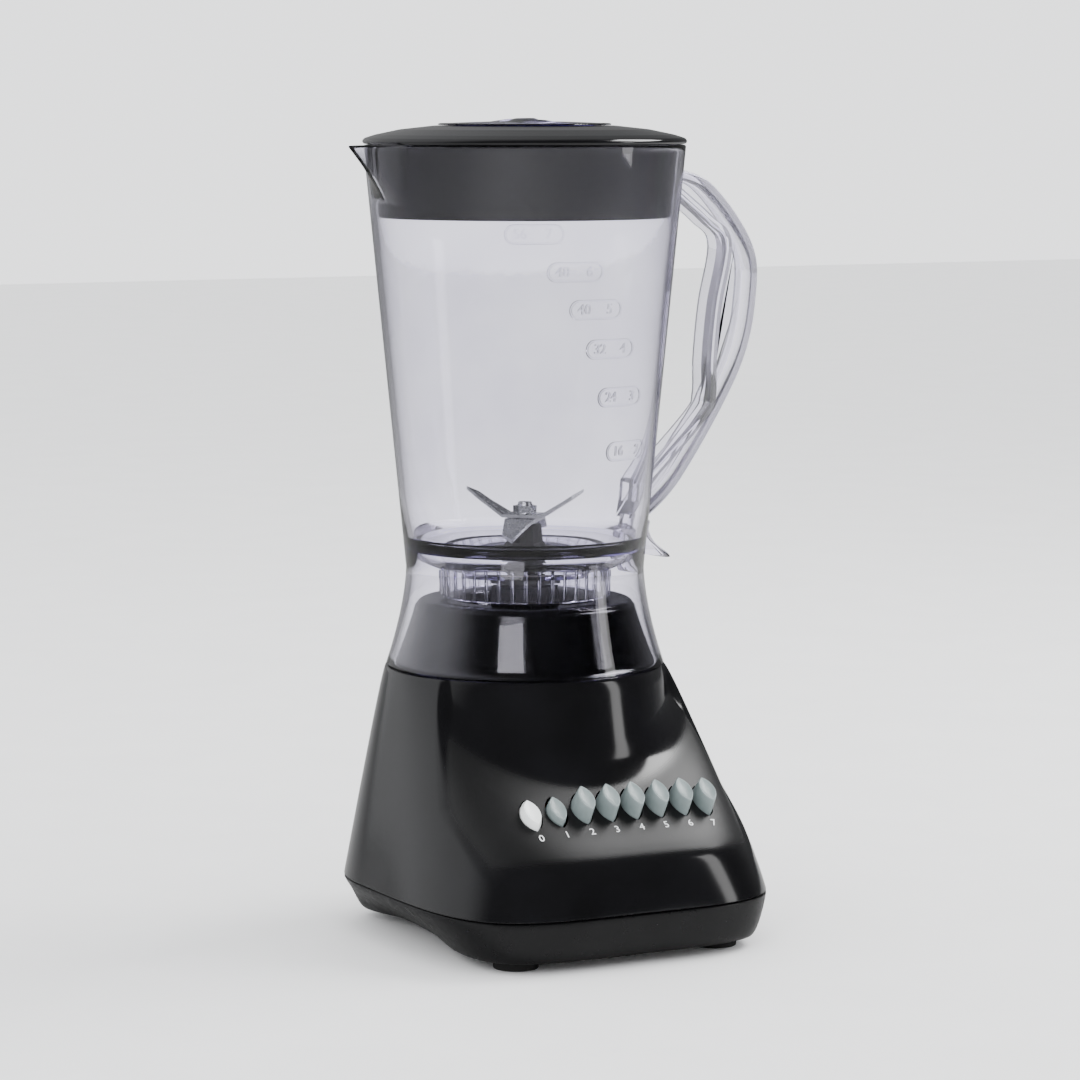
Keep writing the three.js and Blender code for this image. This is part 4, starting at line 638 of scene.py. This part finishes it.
seal_low, seal_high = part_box("shaft_seal")
seal_radius = (seal_high.x - seal_low.x) * 500 + GAP
levels = spaced(24.3, 50, 14) + spaced(50, SHOULDER_Z - 1.2, 74)[1:]
shell = [rule_ring(housing_radius, 24.3, 1.0), rule_ring(housing_radius, 24.3, 0.35)]
shell += [rule_ring(housing_radius, z) for z in [24.7] + levels[1:]]
shell += [rule_ring(housing_radius, SHOULDER_Z - 0.5, 0.1)]
shell += [rule_ring(housing_radius, SHOULDER_Z, 0.8)]
drum = [(drum_radius(SHOULDER_Z) + 0.4, SHOULDER_Z), (drum_radius(SHOULDER_Z), SHOULDER_Z + 0.4)]
drum += [(drum_radius(z), z) for z in spaced(124, DRUM_TOP_Z - 2.5, 12)]
top_radius = drum_radius(DRUM_TOP_Z)
drum += [(top_radius - 2.5 + 2.5 * math.cos(a), DRUM_TOP_Z - 2.5 + 2.5 * math.sin(a))
         for a in spaced(math.radians(15), math.pi / 2, 5)]
drum += [(CUP_RADIUS + 1, DRUM_TOP_Z), (CUP_RADIUS, DRUM_TOP_Z - 1), (CUP_RADIUS, CUP_FLOOR_Z + 0.5)]
drum += [(CUP_RADIUS - 0.5, CUP_FLOOR_Z), (seal_radius, CUP_FLOOR_Z), (seal_radius, CUP_FLOOR_Z - 3)]
drum += [(top_radius - 4, CUP_FLOOR_Z - 3), (drum_radius(SHOULDER_Z) - 3.5, SHOULDER_Z + 2)]
for r, z in drum:
    shell.append([(r * math.cos(a), r * math.sin(a), z) for a in TURN])
drop = WALL * (1 - math.sin(PANEL_TILT)) / math.cos(PANEL_TILT)
for z in reversed(spaced(24.3, SHOULDER_Z - 3, 40)):
    shell.append(rule_ring(housing_radius, z + drop, WALL, z))
housing_mesh = ring_mesh("upper_housing_shell", shell, closed=True)
KEY_LENGTH, KEY_WIDTH, KEY_ROOM = 17.6, 9.0, 0.5
opening = leaf(KEY_LENGTH + 2 * KEY_ROOM, KEY_WIDTH + 2 * KEY_ROOM)
openings = []
for x in KEY_XS:
    openings.append(
        prism("opening", opening, -14, 8, lambda p, x=x: on_panel((p[0] + x, p[1], p[2])))
    )
housing_mesh = join_solids(housing_mesh, openings, "DIFFERENCE")
grained = housing_mesh.attributes.new("grained", "FLOAT", "POINT")
for i, v in enumerate(housing_mesh.vertices):
    x, y, z = (v.co.x - AXIS.x) * 1000, (v.co.y - AXIS.y) * 1000, v.co.z * 1000
    angle = math.atan2(y, x)
    if y > -40 or not 48 < z < 110:
        continue
    off_plane = abs(panel_radius(z, angle) - housing_radius(z, angle))
    share = smooth_step((scoop_share(z, angle) - 0.8) * 5)
    grained.data[i].value = share * (1 - smooth_step((off_plane - 0.6) / 2.4))
finish_mesh(
    "housing_shell", housing_mesh, MATERIALS["housing_gloss_black"], "base",
    ["upper_housing"], sharp=30,
)
print("upper housing faces:", len(housing_mesh.polygons))

# %% [markdown]
# ## The keys
# Eight leaf-shaped keys stand out of the panel, each on its own slide. Their sides lean in to the
# top, and the top is dished inside a narrow rim. Six keys stand up, the white off key is lower, and
# the low key is held pressed in.

# %% Keys
KEYS = [
    ("button_off", "key_off", 3.0, 0.0, "key_white"),
    ("button_low", "key_low", 8.2, 5.4, "key_grey"),
    ("button_high", "key_high", 8.2, 0.0, "key_grey"),
] + [(f"button_speed_{i}", f"key_speed_{i}", 8.2, 0.0, "key_grey") for i in range(1, 6)]
FLANGE_TOP, FLANGE_THICKNESS, FLANGE_OUT = -6.42, 2.0, 1.3
# Below the top, in millimetres, and the size as a share of the outline at the panel.
TOP_RINGS = ((0.75, 0.845), (0.3, 0.825), (0.05, 0.795), (0.0, 0.755), (0.12, 0.71), (0.5, 0.5))
for (node, body, stands, held, slot), x in zip(KEYS, KEY_XS):
    low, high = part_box(node)
    sag = panel_sag(x)
    top, flange_top = stands - held - sag, FLANGE_TOP - held
    stem = leaf(KEY_LENGTH, KEY_WIDTH)
    flange = leaf(KEY_LENGTH + 2 * FLANGE_OUT, KEY_WIDTH + 2 * FLANGE_OUT)
    sections = [(flange_top - FLANGE_THICKNESS, flange, 1.0), (flange_top, flange, 1.0)]
    sections += [(flange_top, stem, 1.0), (-held - 1, stem, 0.97)]
    sections += [(top - below, stem, size) for below, size in TOP_RINGS]
    sections += [(top - 0.62, stem, 0.2)]
    rings = [[on_panel((px * s + x, py * s, z)) for px, py in line] for z, line, s in sections]
    mesh = ring_mesh(node + "_top", rings)
    finish_mesh(node + "_cap", mesh, MATERIALS[slot], body, [node], sharp=42)
    top = max(v.co.z for v in mesh.vertices)
    print(node, "top", round(top * 1000, 1), "solid", round(high.z * 1000, 1))

# %% [markdown]
# Small white marks are printed around the keys: a number under each key and a dash over it. Each is
# a thin flat shape that stands less than a tenth of a millimetre proud, like a layer of ink.

# %% Printed marks
def numeral(text, size):
    """The outline of a number as a flat mesh in millimetres, centred on its own middle."""
    curve = bpy.data.curves.new(text, "FONT")
    curve.body = text
    curve.size = size
    curve.align_x, curve.align_y = "CENTER", "CENTER"
    curve.extrude = 0.3
    curve.resolution_u = 3
    holder = bpy.data.objects.new(text, curve)
    bpy.context.scene.collection.objects.link(holder)
    mesh = bpy.data.meshes.new_from_object(
        holder.evaluated_get(bpy.context.evaluated_depsgraph_get())
    )
    bpy.data.objects.remove(holder)
    return mesh


MATERIALS["ink"] = surface("ink pad printed", ("#d8dadb", "#e6e8e8"), (0.35, 0.5), 0.4, 0.01, 3)
prints = bmesh.new()
for i, x in enumerate(KEY_XS):
    flat = numeral(str(i), 5.2)
    for v in flat.vertices:
        px, py, lift = v.co.x + x, v.co.y - 13.4, 0.06 if v.co.z > 0 else -0.3
        v.co = in_metres(on_panel((px, py, lift - panel_sag(px))))
    prints.from_mesh(flat)
    dash = slot_outline(5.4, 0.9)
    prints.from_mesh(
        prism("dash", dash, -0.3, 0.06,
              lambda p, x=x: on_panel((p[0] + x, p[1] + 16.0, p[2] - panel_sag(p[0] + x))))
    )
prints_mesh = bpy.data.meshes.new("printed_marks")
prints.to_mesh(prints_mesh)
prints.free()
prints_mesh.materials.clear()
finish_mesh("panel_marks", prints_mesh, MATERIALS["ink"], "base")
print("printed mark faces:", len(prints_mesh.polygons))

# %% [markdown]
# ## The jar
# The jar is one clear moulding: a conical wall, a floor that dips to a well for the blades, a skirt
# that drops over the drum, a spout pressed out of the rim, and a handle with an I-shaped section.
# The wall is turned from its outline and pulled out at the spout; the handle and its small tail are
# flat outlines given a width with rounded edges, and a boolean joins all three into one body.


# %% Jar wall
def pull_spout(point):
    x, y, z = point
    from_spout = math.pi - abs(math.atan2(y, x))
    risen = clamp01((z - RIM_Z + 26) / 26) ** 1.25
    share = clamp01(1 - from_spout / math.radians(15))
    share = share * (1 - 0.35 * (1 - share) ** 2)
    r = math.hypot(x, y)
    stretch = (r + 15.5 * share * risen) / r if r > 30 else 1
    return (x * stretch, y * stretch, z)


wall_levels = spaced(WAIST_Z + 3, RIM_Z - 27, 20) + spaced(RIM_Z - 26, RIM_Z - 1.5, 12)
skirt_levels = spaced(SKIRT_Z + 1.2, WAIST_Z, 14)
outline = [(jar_radius(SKIRT_Z) - 2.2, SKIRT_Z), (jar_radius(SKIRT_Z) - 0.8, SKIRT_Z)]
outline += [(jar_radius(SKIRT_Z) - 0.15, SKIRT_Z + 0.5)]
outline += [(jar_radius(z), z) for z in skirt_levels + wall_levels]
rim = jar_radius(RIM_Z)
outline += [(rim - 0.1, RIM_Z - 0.7), (rim - 0.6, RIM_Z - 0.15), (rim - 1.5, RIM_Z)]
outline += [(rim - 2.4, RIM_Z - 0.15), (rim - 2.9, RIM_Z - 0.7)]
outline += [(jar_radius(z) - 3, z) for z in reversed(wall_levels) if z > FLOOR_Z + 9]
wall_inside = jar_radius(FLOOR_Z) - 3
floor_top = [(wall_inside, 186.3), (wall_inside - 0.6, 182.9), (wall_inside - 3, 180.5)]
floor_top += [(40, 176.6), (32.5, 174.8), (27.5, 173.4), (25.2, 172.2), (24.5, 170.8)]
floor_top += [(24.5, 168.7), (24.1, 168.3), (10, 168.3)]
floor_under = [(10, 165.3), (27.2, 165.3), (27.6, 165.8), (28.5, 169.3), (36, 171.5)]
floor_under += [(36, 154.6), (36.4, 154.2), (38.6, 154.2), (39, 154.6), (39, 171.9)]
floor_under += [(wall_inside - 3, 176.3)]
skirt_inside = [(jar_radius(z) - 3, z) for z in reversed(skirt_levels)]
rings = turn(outline + floor_top + floor_under + skirt_inside, 288)
rings = [[pull_spout(p) for p in ring] for ring in rings]
jar_mesh = ring_mesh("jar_wall", rings, closed=True)
print("jar wall faces:", len(jar_mesh.polygons))

# %% [markdown]
# The handle's two edges are smooth curves through a few points, each given as the depth under the
# rim and the distance from the wall. Pockets from both sides leave a thin web between two rails.


# %% Handle
def handle_point(drop, reach):
    return Vector((jar_radius(RIM_Z - drop) + reach, RIM_Z - drop))


def through(points, steps):
    """A smooth curve through the points, evaluated at steps between each two."""
    line = []
    for i in range(len(points) - 1):
        a, b = points[max(i - 1, 0)], points[i]
        c, d = points[i + 1], points[min(i + 2, len(points) - 1)]
        for t in spaced(0, 1, steps)[:-1]:
            curve = 2 * b + (c - a) * t + (2 * a - 5 * b + 4 * c - d) * t * t
            line.append(0.5 * (curve + (3 * b - a - 3 * c + d) * t**3))
    return [*line, points[-1]]


def inset(outline, distance):
    """A closed outline moved inwards by the same distance all round."""
    count = len(outline)
    area = sum(outline[i - 1].cross(outline[i]) for i in range(count))
    side = 1 if area > 0 else -1
    moved = []
    for i, here in enumerate(outline):
        into = (here - outline[i - 1]).normalized()
        out = (outline[(i + 1) % count] - here).normalized()
        along = (into + out).normalized()
        normal = Vector((-along.y, along.x)) * side
        reach = distance / max(along.dot(into), 0.5)
        moved.append(here + normal * reach)
    return moved


def flat_part(name, outline, half_width, edge=1.2):
    """An upright outline given a width along Y, with its long edges rounded."""
    rings = []
    sections = [(math.sin(a) * edge, (1 - math.cos(a)) * edge) for a in spaced(0, math.pi / 2, 4)]
    for out, into in reversed(sections):
        rings.append([(p.x, -(half_width - edge + out), p.y) for p in inset(outline, into)])
    for out, into in sections:
        rings.append([(p.x, half_width - edge + out, p.y) for p in inset(outline, into)])
    return ring_mesh(name, rings)


OUTER_EDGE = (
    (10.7, -1.5), (18.4, 21.8), (45.7, 46.5), (70, 52.1), (106.7, 46.7), (157.7, 19.6), (178.7, -1.5)
)
INNER_EDGE = (
    (158.7, -1.5), (127.9, 27), (118.7, 30.9), (101.2, 29.6), (75.5, 29.8), (47.5, 32.2),
    (36.8, 22), (19.7, -1.5),
)
TAIL = (
    (176, -1.5), (176.9, 6.7), (181.8, 7.1), (187.4, 10.9), (193.6, 19.1), (195, 17.2), (191.2, -1.5)
)
loop = through([handle_point(*p) for p in OUTER_EDGE], 14)
loop += through([handle_point(*p) for p in INNER_EDGE], 12)
handle_mesh = flat_part("handle", loop, 9.0)
pocket = [p for p in inset(loop, 3.6) if p.x > jar_radius(p.y) + 2.5]
pocket_floor = inset(pocket, 0.7)
pockets = []
for side in (-1, 1):
    sections = ((2.5, pocket_floor), (9.5, pocket))
    rings = [[(p.x, side * y, p.y) for p in line] for y, line in sections]
    pockets.append(ring_mesh("pocket", rings))
handle_mesh = join_solids(handle_mesh, pockets, "DIFFERENCE")
tail_mesh = flat_part("tail", through([handle_point(*p) for p in TAIL], 6), 5.0, 0.9)
jar_mesh = join_solids(jar_mesh, [handle_mesh, tail_mesh], "UNION")
milky = jar_mesh.attributes.new("milky", "FLOAT", "POINT")
for i, v in enumerate(jar_mesh.vertices):
    x, y, z = (v.co.x - AXIS.x) * 1000, (v.co.y - AXIS.y) * 1000, v.co.z * 1000
    on_handle = smooth_step((math.hypot(x, y) - jar_radius(z) - 1) / 3) if x > 0 else 0
    milky.data[i].value = 0.12 * on_handle
jar_mesh.materials.clear()
finish_mesh("jar_body", jar_mesh, MATERIALS["jar_clear"], "jar", ["jar"], sharp=28)
print("jar faces:", len(jar_mesh.polygons))

# %% [markdown]
# ## Ribs around a ring
# Under the jar's floor, a collar guards the clutch, and upright ribs stiffen it. The same node tree
# also makes the treads under the feet. It stands a slim round bar at each point of a circle. On the
# collar, half of each bar is sunk in the wall. The sizes are inputs, so one tree serves every ring.


# %% Ring of bars
def ring_tree():
    tree = bpy.data.node_groups.new("ring of bars", "GeometryNodeTree")
    tree.is_modifier = True
    face = tree.interface
    sizes = (("Count", "NodeSocketInt", 12), ("Radius", "NodeSocketFloat", 0.03),
             ("Bar", "NodeSocketFloat", 0.001), ("Length", "NodeSocketFloat", 0.01),
             ("Centre", "NodeSocketVector", (0, 0, 0)), ("Finish", "NodeSocketMaterial", None))
    for name, kind, value in sizes:
        socket = face.new_socket(name, in_out="INPUT", socket_type=kind)
        if value is not None:
            socket.default_value = value
    face.new_socket("Mesh", in_out="OUTPUT", socket_type="NodeSocketGeometry")
    given = add(tree, "NodeGroupInput").outputs
    circle = add(tree, "GeometryNodeMeshCircle", {"Vertices": given["Count"], "Radius": given["Radius"]})
    sides = {"Vertices": 10, "Side Segments": 1, "Radius": given["Bar"], "Depth": given["Length"]}
    bar = add(tree, "GeometryNodeMeshCylinder", sides)
    points = {"Points": circle.outputs["Mesh"], "Instance": bar.outputs["Mesh"]}
    bars = add(tree, "GeometryNodeInstanceOnPoints", points).outputs[0]
    moved = add(tree, "GeometryNodeTransform", {"Geometry": bars, "Translation": given["Centre"]})
    real = add(tree, "GeometryNodeRealizeInstances", {"Geometry": moved.outputs[0]})
    ends = {"Geometry": real.outputs[0], "Material": given["Finish"]}
    painted = add(tree, "GeometryNodeSetMaterial", ends)
    add(tree, "NodeGroupOutput", {"Mesh": painted.outputs[0]})
    return tree


BARS = ring_tree()


def ring_of_bars(name, body, slot, **sizes):
    """Runs the tree with these sizes, in metres, and keeps the result as a plain mesh."""
    host = bpy.data.objects.new(name, bpy.data.meshes.new(name))
    bpy.context.scene.collection.objects.link(host)
    modifier = host.modifiers.new("bars", "NODES")
    modifier.node_group = BARS
    sizes["Finish"] = MATERIALS[slot]
    for item in BARS.interface.items_tree:
        if item.name in sizes:
            modifier[item.identifier] = sizes[item.name]
    mesh = bpy.data.meshes.new_from_object(
        host.evaluated_get(bpy.context.evaluated_depsgraph_get())
    )
    bpy.data.objects.remove(host)
    piece = finish_mesh(name, mesh, MATERIALS[slot], body)
    print(name, "faces:", len(mesh.polygons))
    return piece


collar_middle = (AXIS.x, AXIS.y, 0.1629)
ring_of_bars(
    "collar_ribs", "jar", "jar_clear", Count=40, Radius=0.03915, Bar=0.0008, Length=0.0168,
    Centre=collar_middle,
)

# %% [markdown]
# ## Feet
# Four rubber feet lift the base. Each is turned, with a rounded edge and a shallow hollow beneath,
# and a ring of small treads in the hollow grips the table.

# %% Feet
for i in range(1, 5):
    low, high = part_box(f"foot_{i}")
    x, y = ((low + high) / 2 - AXIS).x * 1000, ((low + high) / 2 - AXIS).y * 1000
    r, top = (high.x - low.x) * 500, high.z * 1000
    outline = rounded([(0.4, 0.6), (r - 3, 0.6), (r - 2.6, 0.0), (r - 0.4, 0.0), (r, top), (0.4, top)], 0.5)
    foot = ring_mesh(f"foot_{i}_shape", turn(outline, 64, x, y))
    name = f"foot_{i}"
    finish_mesh(name + "_rubber", foot, MATERIALS["foot_rubber"], "base", [name])
    ring_of_bars(
        name + "_treads", "base", "foot_rubber", Count=9, Radius=(r - 5) / 1000, Bar=0.0007,
        Length=0.0005, Centre=((low.x + high.x) / 2, (low.y + high.y) / 2, 0.0005),
    )

# %% [markdown]
# ## Graduations
# The measures moulded into the jar's front are capsules with two numbers in each, for ounces and
# for cups. The capsules stand out of the wall by a third of a millimetre and the numbers by a half,
# so light draws them in clear plastic without any ink. Six are placed by a loop over their levels.


# %% Graduations
def on_wall(across, up, out, middle_angle, middle_z):
    z = middle_z + up
    r = jar_radius(z) + out
    angle = middle_angle + across / r
    return (r * math.cos(angle), r * math.sin(angle), z)


def capsule(angle, z, length=27.0, height=9.0, line=0.9):
    outer = slot_outline(length, height, 12)
    inner = slot_outline(length - 2 * line, height - 2 * line, 12)
    outer_low = [on_wall(x, y, -0.3, angle, z) for x, y in outer]
    outer_top = [on_wall(x * 0.995, y * 0.98, 0.35, angle, z) for x, y in outer]
    inner_top = [on_wall(x, y, 0.35, angle, z) for x, y in inner]
    inner_low = [on_wall(x, y, -0.3, angle, z) for x, y in inner]
    return ring_mesh("capsule", [outer_low, outer_top, inner_top, inner_low], closed=True)


LEVELS = ((56, 7, 324), (48, 6, 307), (40, 5, 290), (32, 4, 272), (24, 3, 250), (16, 2, 225))
marks = bmesh.new()
for i, (ounces, cups, z) in enumerate(LEVELS):
    angle = math.radians(-114 + 16 * i ** 0.66)
    marks.from_mesh(capsule(angle, z))
    for text, across in ((str(ounces), -6.5), (str(cups), 6.5)):
        flat = numeral(text, 6.5)
        for v in flat.vertices:
            v.co = in_metres(on_wall(v.co.x + across, v.co.y, 0.2 + v.co.z, angle, z))
        marks.from_mesh(flat)
bmesh.ops.remove_doubles(marks, verts=marks.verts, dist=1e-7)
marks_mesh = bpy.data.meshes.new("graduations")
marks.to_mesh(marks_mesh)
marks.free()
marks_mesh.materials.clear()
finish_mesh("jar_graduations", marks_mesh, MATERIALS["jar_clear"], "jar")
print("graduation faces:", len(marks_mesh.polygons))

# %% [markdown]
# ## Lid and filler cap
# The lid is turned: a low dome with a thin rounded edge over the rim, and a deep skirt inside the
# jar. The clear cap plugs its hole; an S-shaped ridge across its top gives fingers a grip.

# %% Lid
def skirt_radius(z):
    return jar_radius(z) - 3.8


outline = rounded(
    [(34.2, 371.6), (42, 371.6), (57.5, 369.9), (69, 367.5), (74, 365.9), (75, 364.5), (74.2, 363.2),
     (skirt_radius(363.2), 363.2), (skirt_radius(329.8), 329.8), (skirt_radius(329.8) - 2.5, 329.8),
     (skirt_radius(360) - 2.5, 360), (66, 365.2), (56, 367.4), (42, 369.1), (34.2, 369.1)], 0.9,
)
lid_mesh = ring_mesh("lid_shape", turn(outline, 256), closed=True)
finish_mesh("lid_shell", lid_mesh, MATERIALS["lid_gloss_black"], "lid", ["lid"])
print("lid faces:", len(lid_mesh.polygons))

# %% [markdown]
# The cap's top isn't turned: its height depends on the place across it, as a low dome with the
# ridge added. The ridge's line swings round as it goes outwards, the same way on both sides of the
# middle, which is what draws the S.

# %% Filler cap
CAP_SWING = 1.3
RIDGE_START = math.radians(20)
RIDGE_HEIGHT, RIDGE_WIDTH = 1.45, 3.4


def cap_height(x, y):
    r = math.hypot(x, y)
    dome = 373.6 - 1.0 * (r / 38) ** 2
    angle = math.atan2(y, x) - RIDGE_START - CAP_SWING * r / 38
    off_ridge = abs(r * math.sin(angle))
    rise = clamp01((38 - r) / 8)
    return dome + RIDGE_HEIGHT * rise * math.exp(-((off_ridge / RIDGE_WIDTH) ** 2))


def cap_ring(r, z=None, sides=192):
    ring = []
    for j in range(sides):
        x, y = r * math.cos(2 * math.pi * j / sides), r * math.sin(2 * math.pi * j / sides)
        ring.append((x, y, cap_height(x, y) if z is None else z))
    return ring


rings = [cap_ring(r) for r in spaced(0.6, 38, 30)]
rings += [cap_ring(39, 372.7), cap_ring(39.7, 372.5), cap_ring(40, 372.2), cap_ring(39.8, 371.9)]
rings += [cap_ring(33, 371.9), cap_ring(32.8, 368), cap_ring(32, 352.3), cap_ring(31.6, 351.9)]
rings += [cap_ring(30.4, 351.9), cap_ring(30, 352.3), cap_ring(30.9, 369.8), cap_ring(29.9, 371.2)]
rings += [cap_ring(r, 371.5) for r in (28, 15, 0.6)]
cap_mesh = ring_mesh("cap_shape", rings)
finish_mesh("cap_body", cap_mesh, MATERIALS["cap_clear"], "filler_cap", ["filler_cap"])
print("cap faces:", len(cap_mesh.polygons))

# %% [markdown]
# ## Everything that stays as it is
# The motor, the clutch, the blades and the screws keep their solids, which already have the right
# shape. Each takes the finish that its slot names.

# %% Finishes for the solids
for name, node in frame["nodes"].items():
    node.data.materials.clear()
    node.data.materials.append(MATERIALS[slot_of[name]])
print("finishes in use:", len(set(slot_of.values())))

# %% [markdown]
# ## Floor and light
# Gloss black shows only what it mirrors. Two soft panels on the right draw its highlights, and a
# third on the left lights the keys without being mirrored. The surround is even and pale, except
# for light that has been mirrored once: for that it is dark in front of the blender, pale behind it
# and weaker behind it on the right. This keeps the front deep black. The floor is nearly white.

# %% Floor and light
FLOOR_REACH = 6.0
floor_mesh = bpy.data.meshes.new("floor")
corners = [(x * FLOOR_REACH, y * FLOOR_REACH, 0) for x, y in ((-1, -1), (1, -1), (1, 1), (-1, 1))]
floor_mesh.from_pydata(corners, [], [(0, 1, 2, 3)])
floor = bpy.data.objects.new("floor", floor_mesh)
bpy.context.scene.collection.objects.link(floor)
floor_mesh.materials.append(surface("card pale", ("#f1f1f1", "#f4f4f4"), (0.6, 0.7), 2, 0.0, 60))
floor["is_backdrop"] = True

SURROUND_STRENGTH = 2.3
world = bpy.data.worlds.new("studio")
bpy.context.scene.world = world
world.use_nodes = True
tree = world.node_tree
direction = add(tree, "ShaderNodeTexCoord").outputs["Generated"]
depth = add(tree, "ShaderNodeSeparateXYZ", {0: direction}).outputs["Y"]
inputs = {"Value": depth, "From Min": -0.35, "From Max": 0.35, "To Min": 0.04, "To Max": 1.0}
mirrored = add(tree, "ShaderNodeMapRange", inputs, interpolation_type="SMOOTHSTEP").outputs["Result"]
rays = add(tree, "ShaderNodeLightPath").outputs
side = add(tree, "ShaderNodeSeparateXYZ", {0: direction}).outputs["X"]
inputs = {"Value": side, "From Min": -0.5, "From Max": 0.6, "To Min": 1.0, "To Max": 0.14}
across = add(tree, "ShaderNodeMapRange", inputs).outputs["Result"]
both = add(tree, "ShaderNodeMath", {0: mirrored, 1: across}, operation="MULTIPLY").outputs[0]
share = add(tree, "ShaderNodeMath", {0: rays["Glossy Depth"], 1: 1.0}, operation="MINIMUM").outputs[0]
inputs = {0: share, 2: SURROUND_STRENGTH, 3: both}
strength = add(tree, "ShaderNodeMix", inputs).outputs[0]
tree.nodes["Background"].inputs["Color"].default_value = colour("#f7f8fa")
tree.links.new(strength, tree.nodes["Background"].inputs["Strength"])


def soft_panel(name, place, size, power, target=(0, 0, 0.18)):
    light = bpy.data.lights.new(name, "AREA")
    light.shape = "RECTANGLE"
    light.size, light.size_y = size
    light.energy = power
    panel = bpy.data.objects.new(name, light)
    panel.location = place
    towards = Vector(target) - Vector(place)
    panel.rotation_euler = towards.to_track_quat("-Z", "Y").to_euler()
    bpy.context.scene.collection.objects.link(panel)
    return panel


soft_panel("panel right high", (1.15, -0.05, 1.45), (0.9, 0.7), 26)
soft_panel("panel right low", (1.3, -1.1, 0.55), (0.30, 1.0), 3.5)
fill = soft_panel("fill front left", (-1.4, -1.6, 1.2), (0.9, 0.9), 14)
fill.visible_glossy = False

# %% [markdown]
# ## The size at the end
# The box around the finished pieces is printed at the end. The finished pieces must stay inside
# the box of the solids.

# %% Sizes and the end
low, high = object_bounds()
print("visual box", [round(v, 4) for v in high - low])
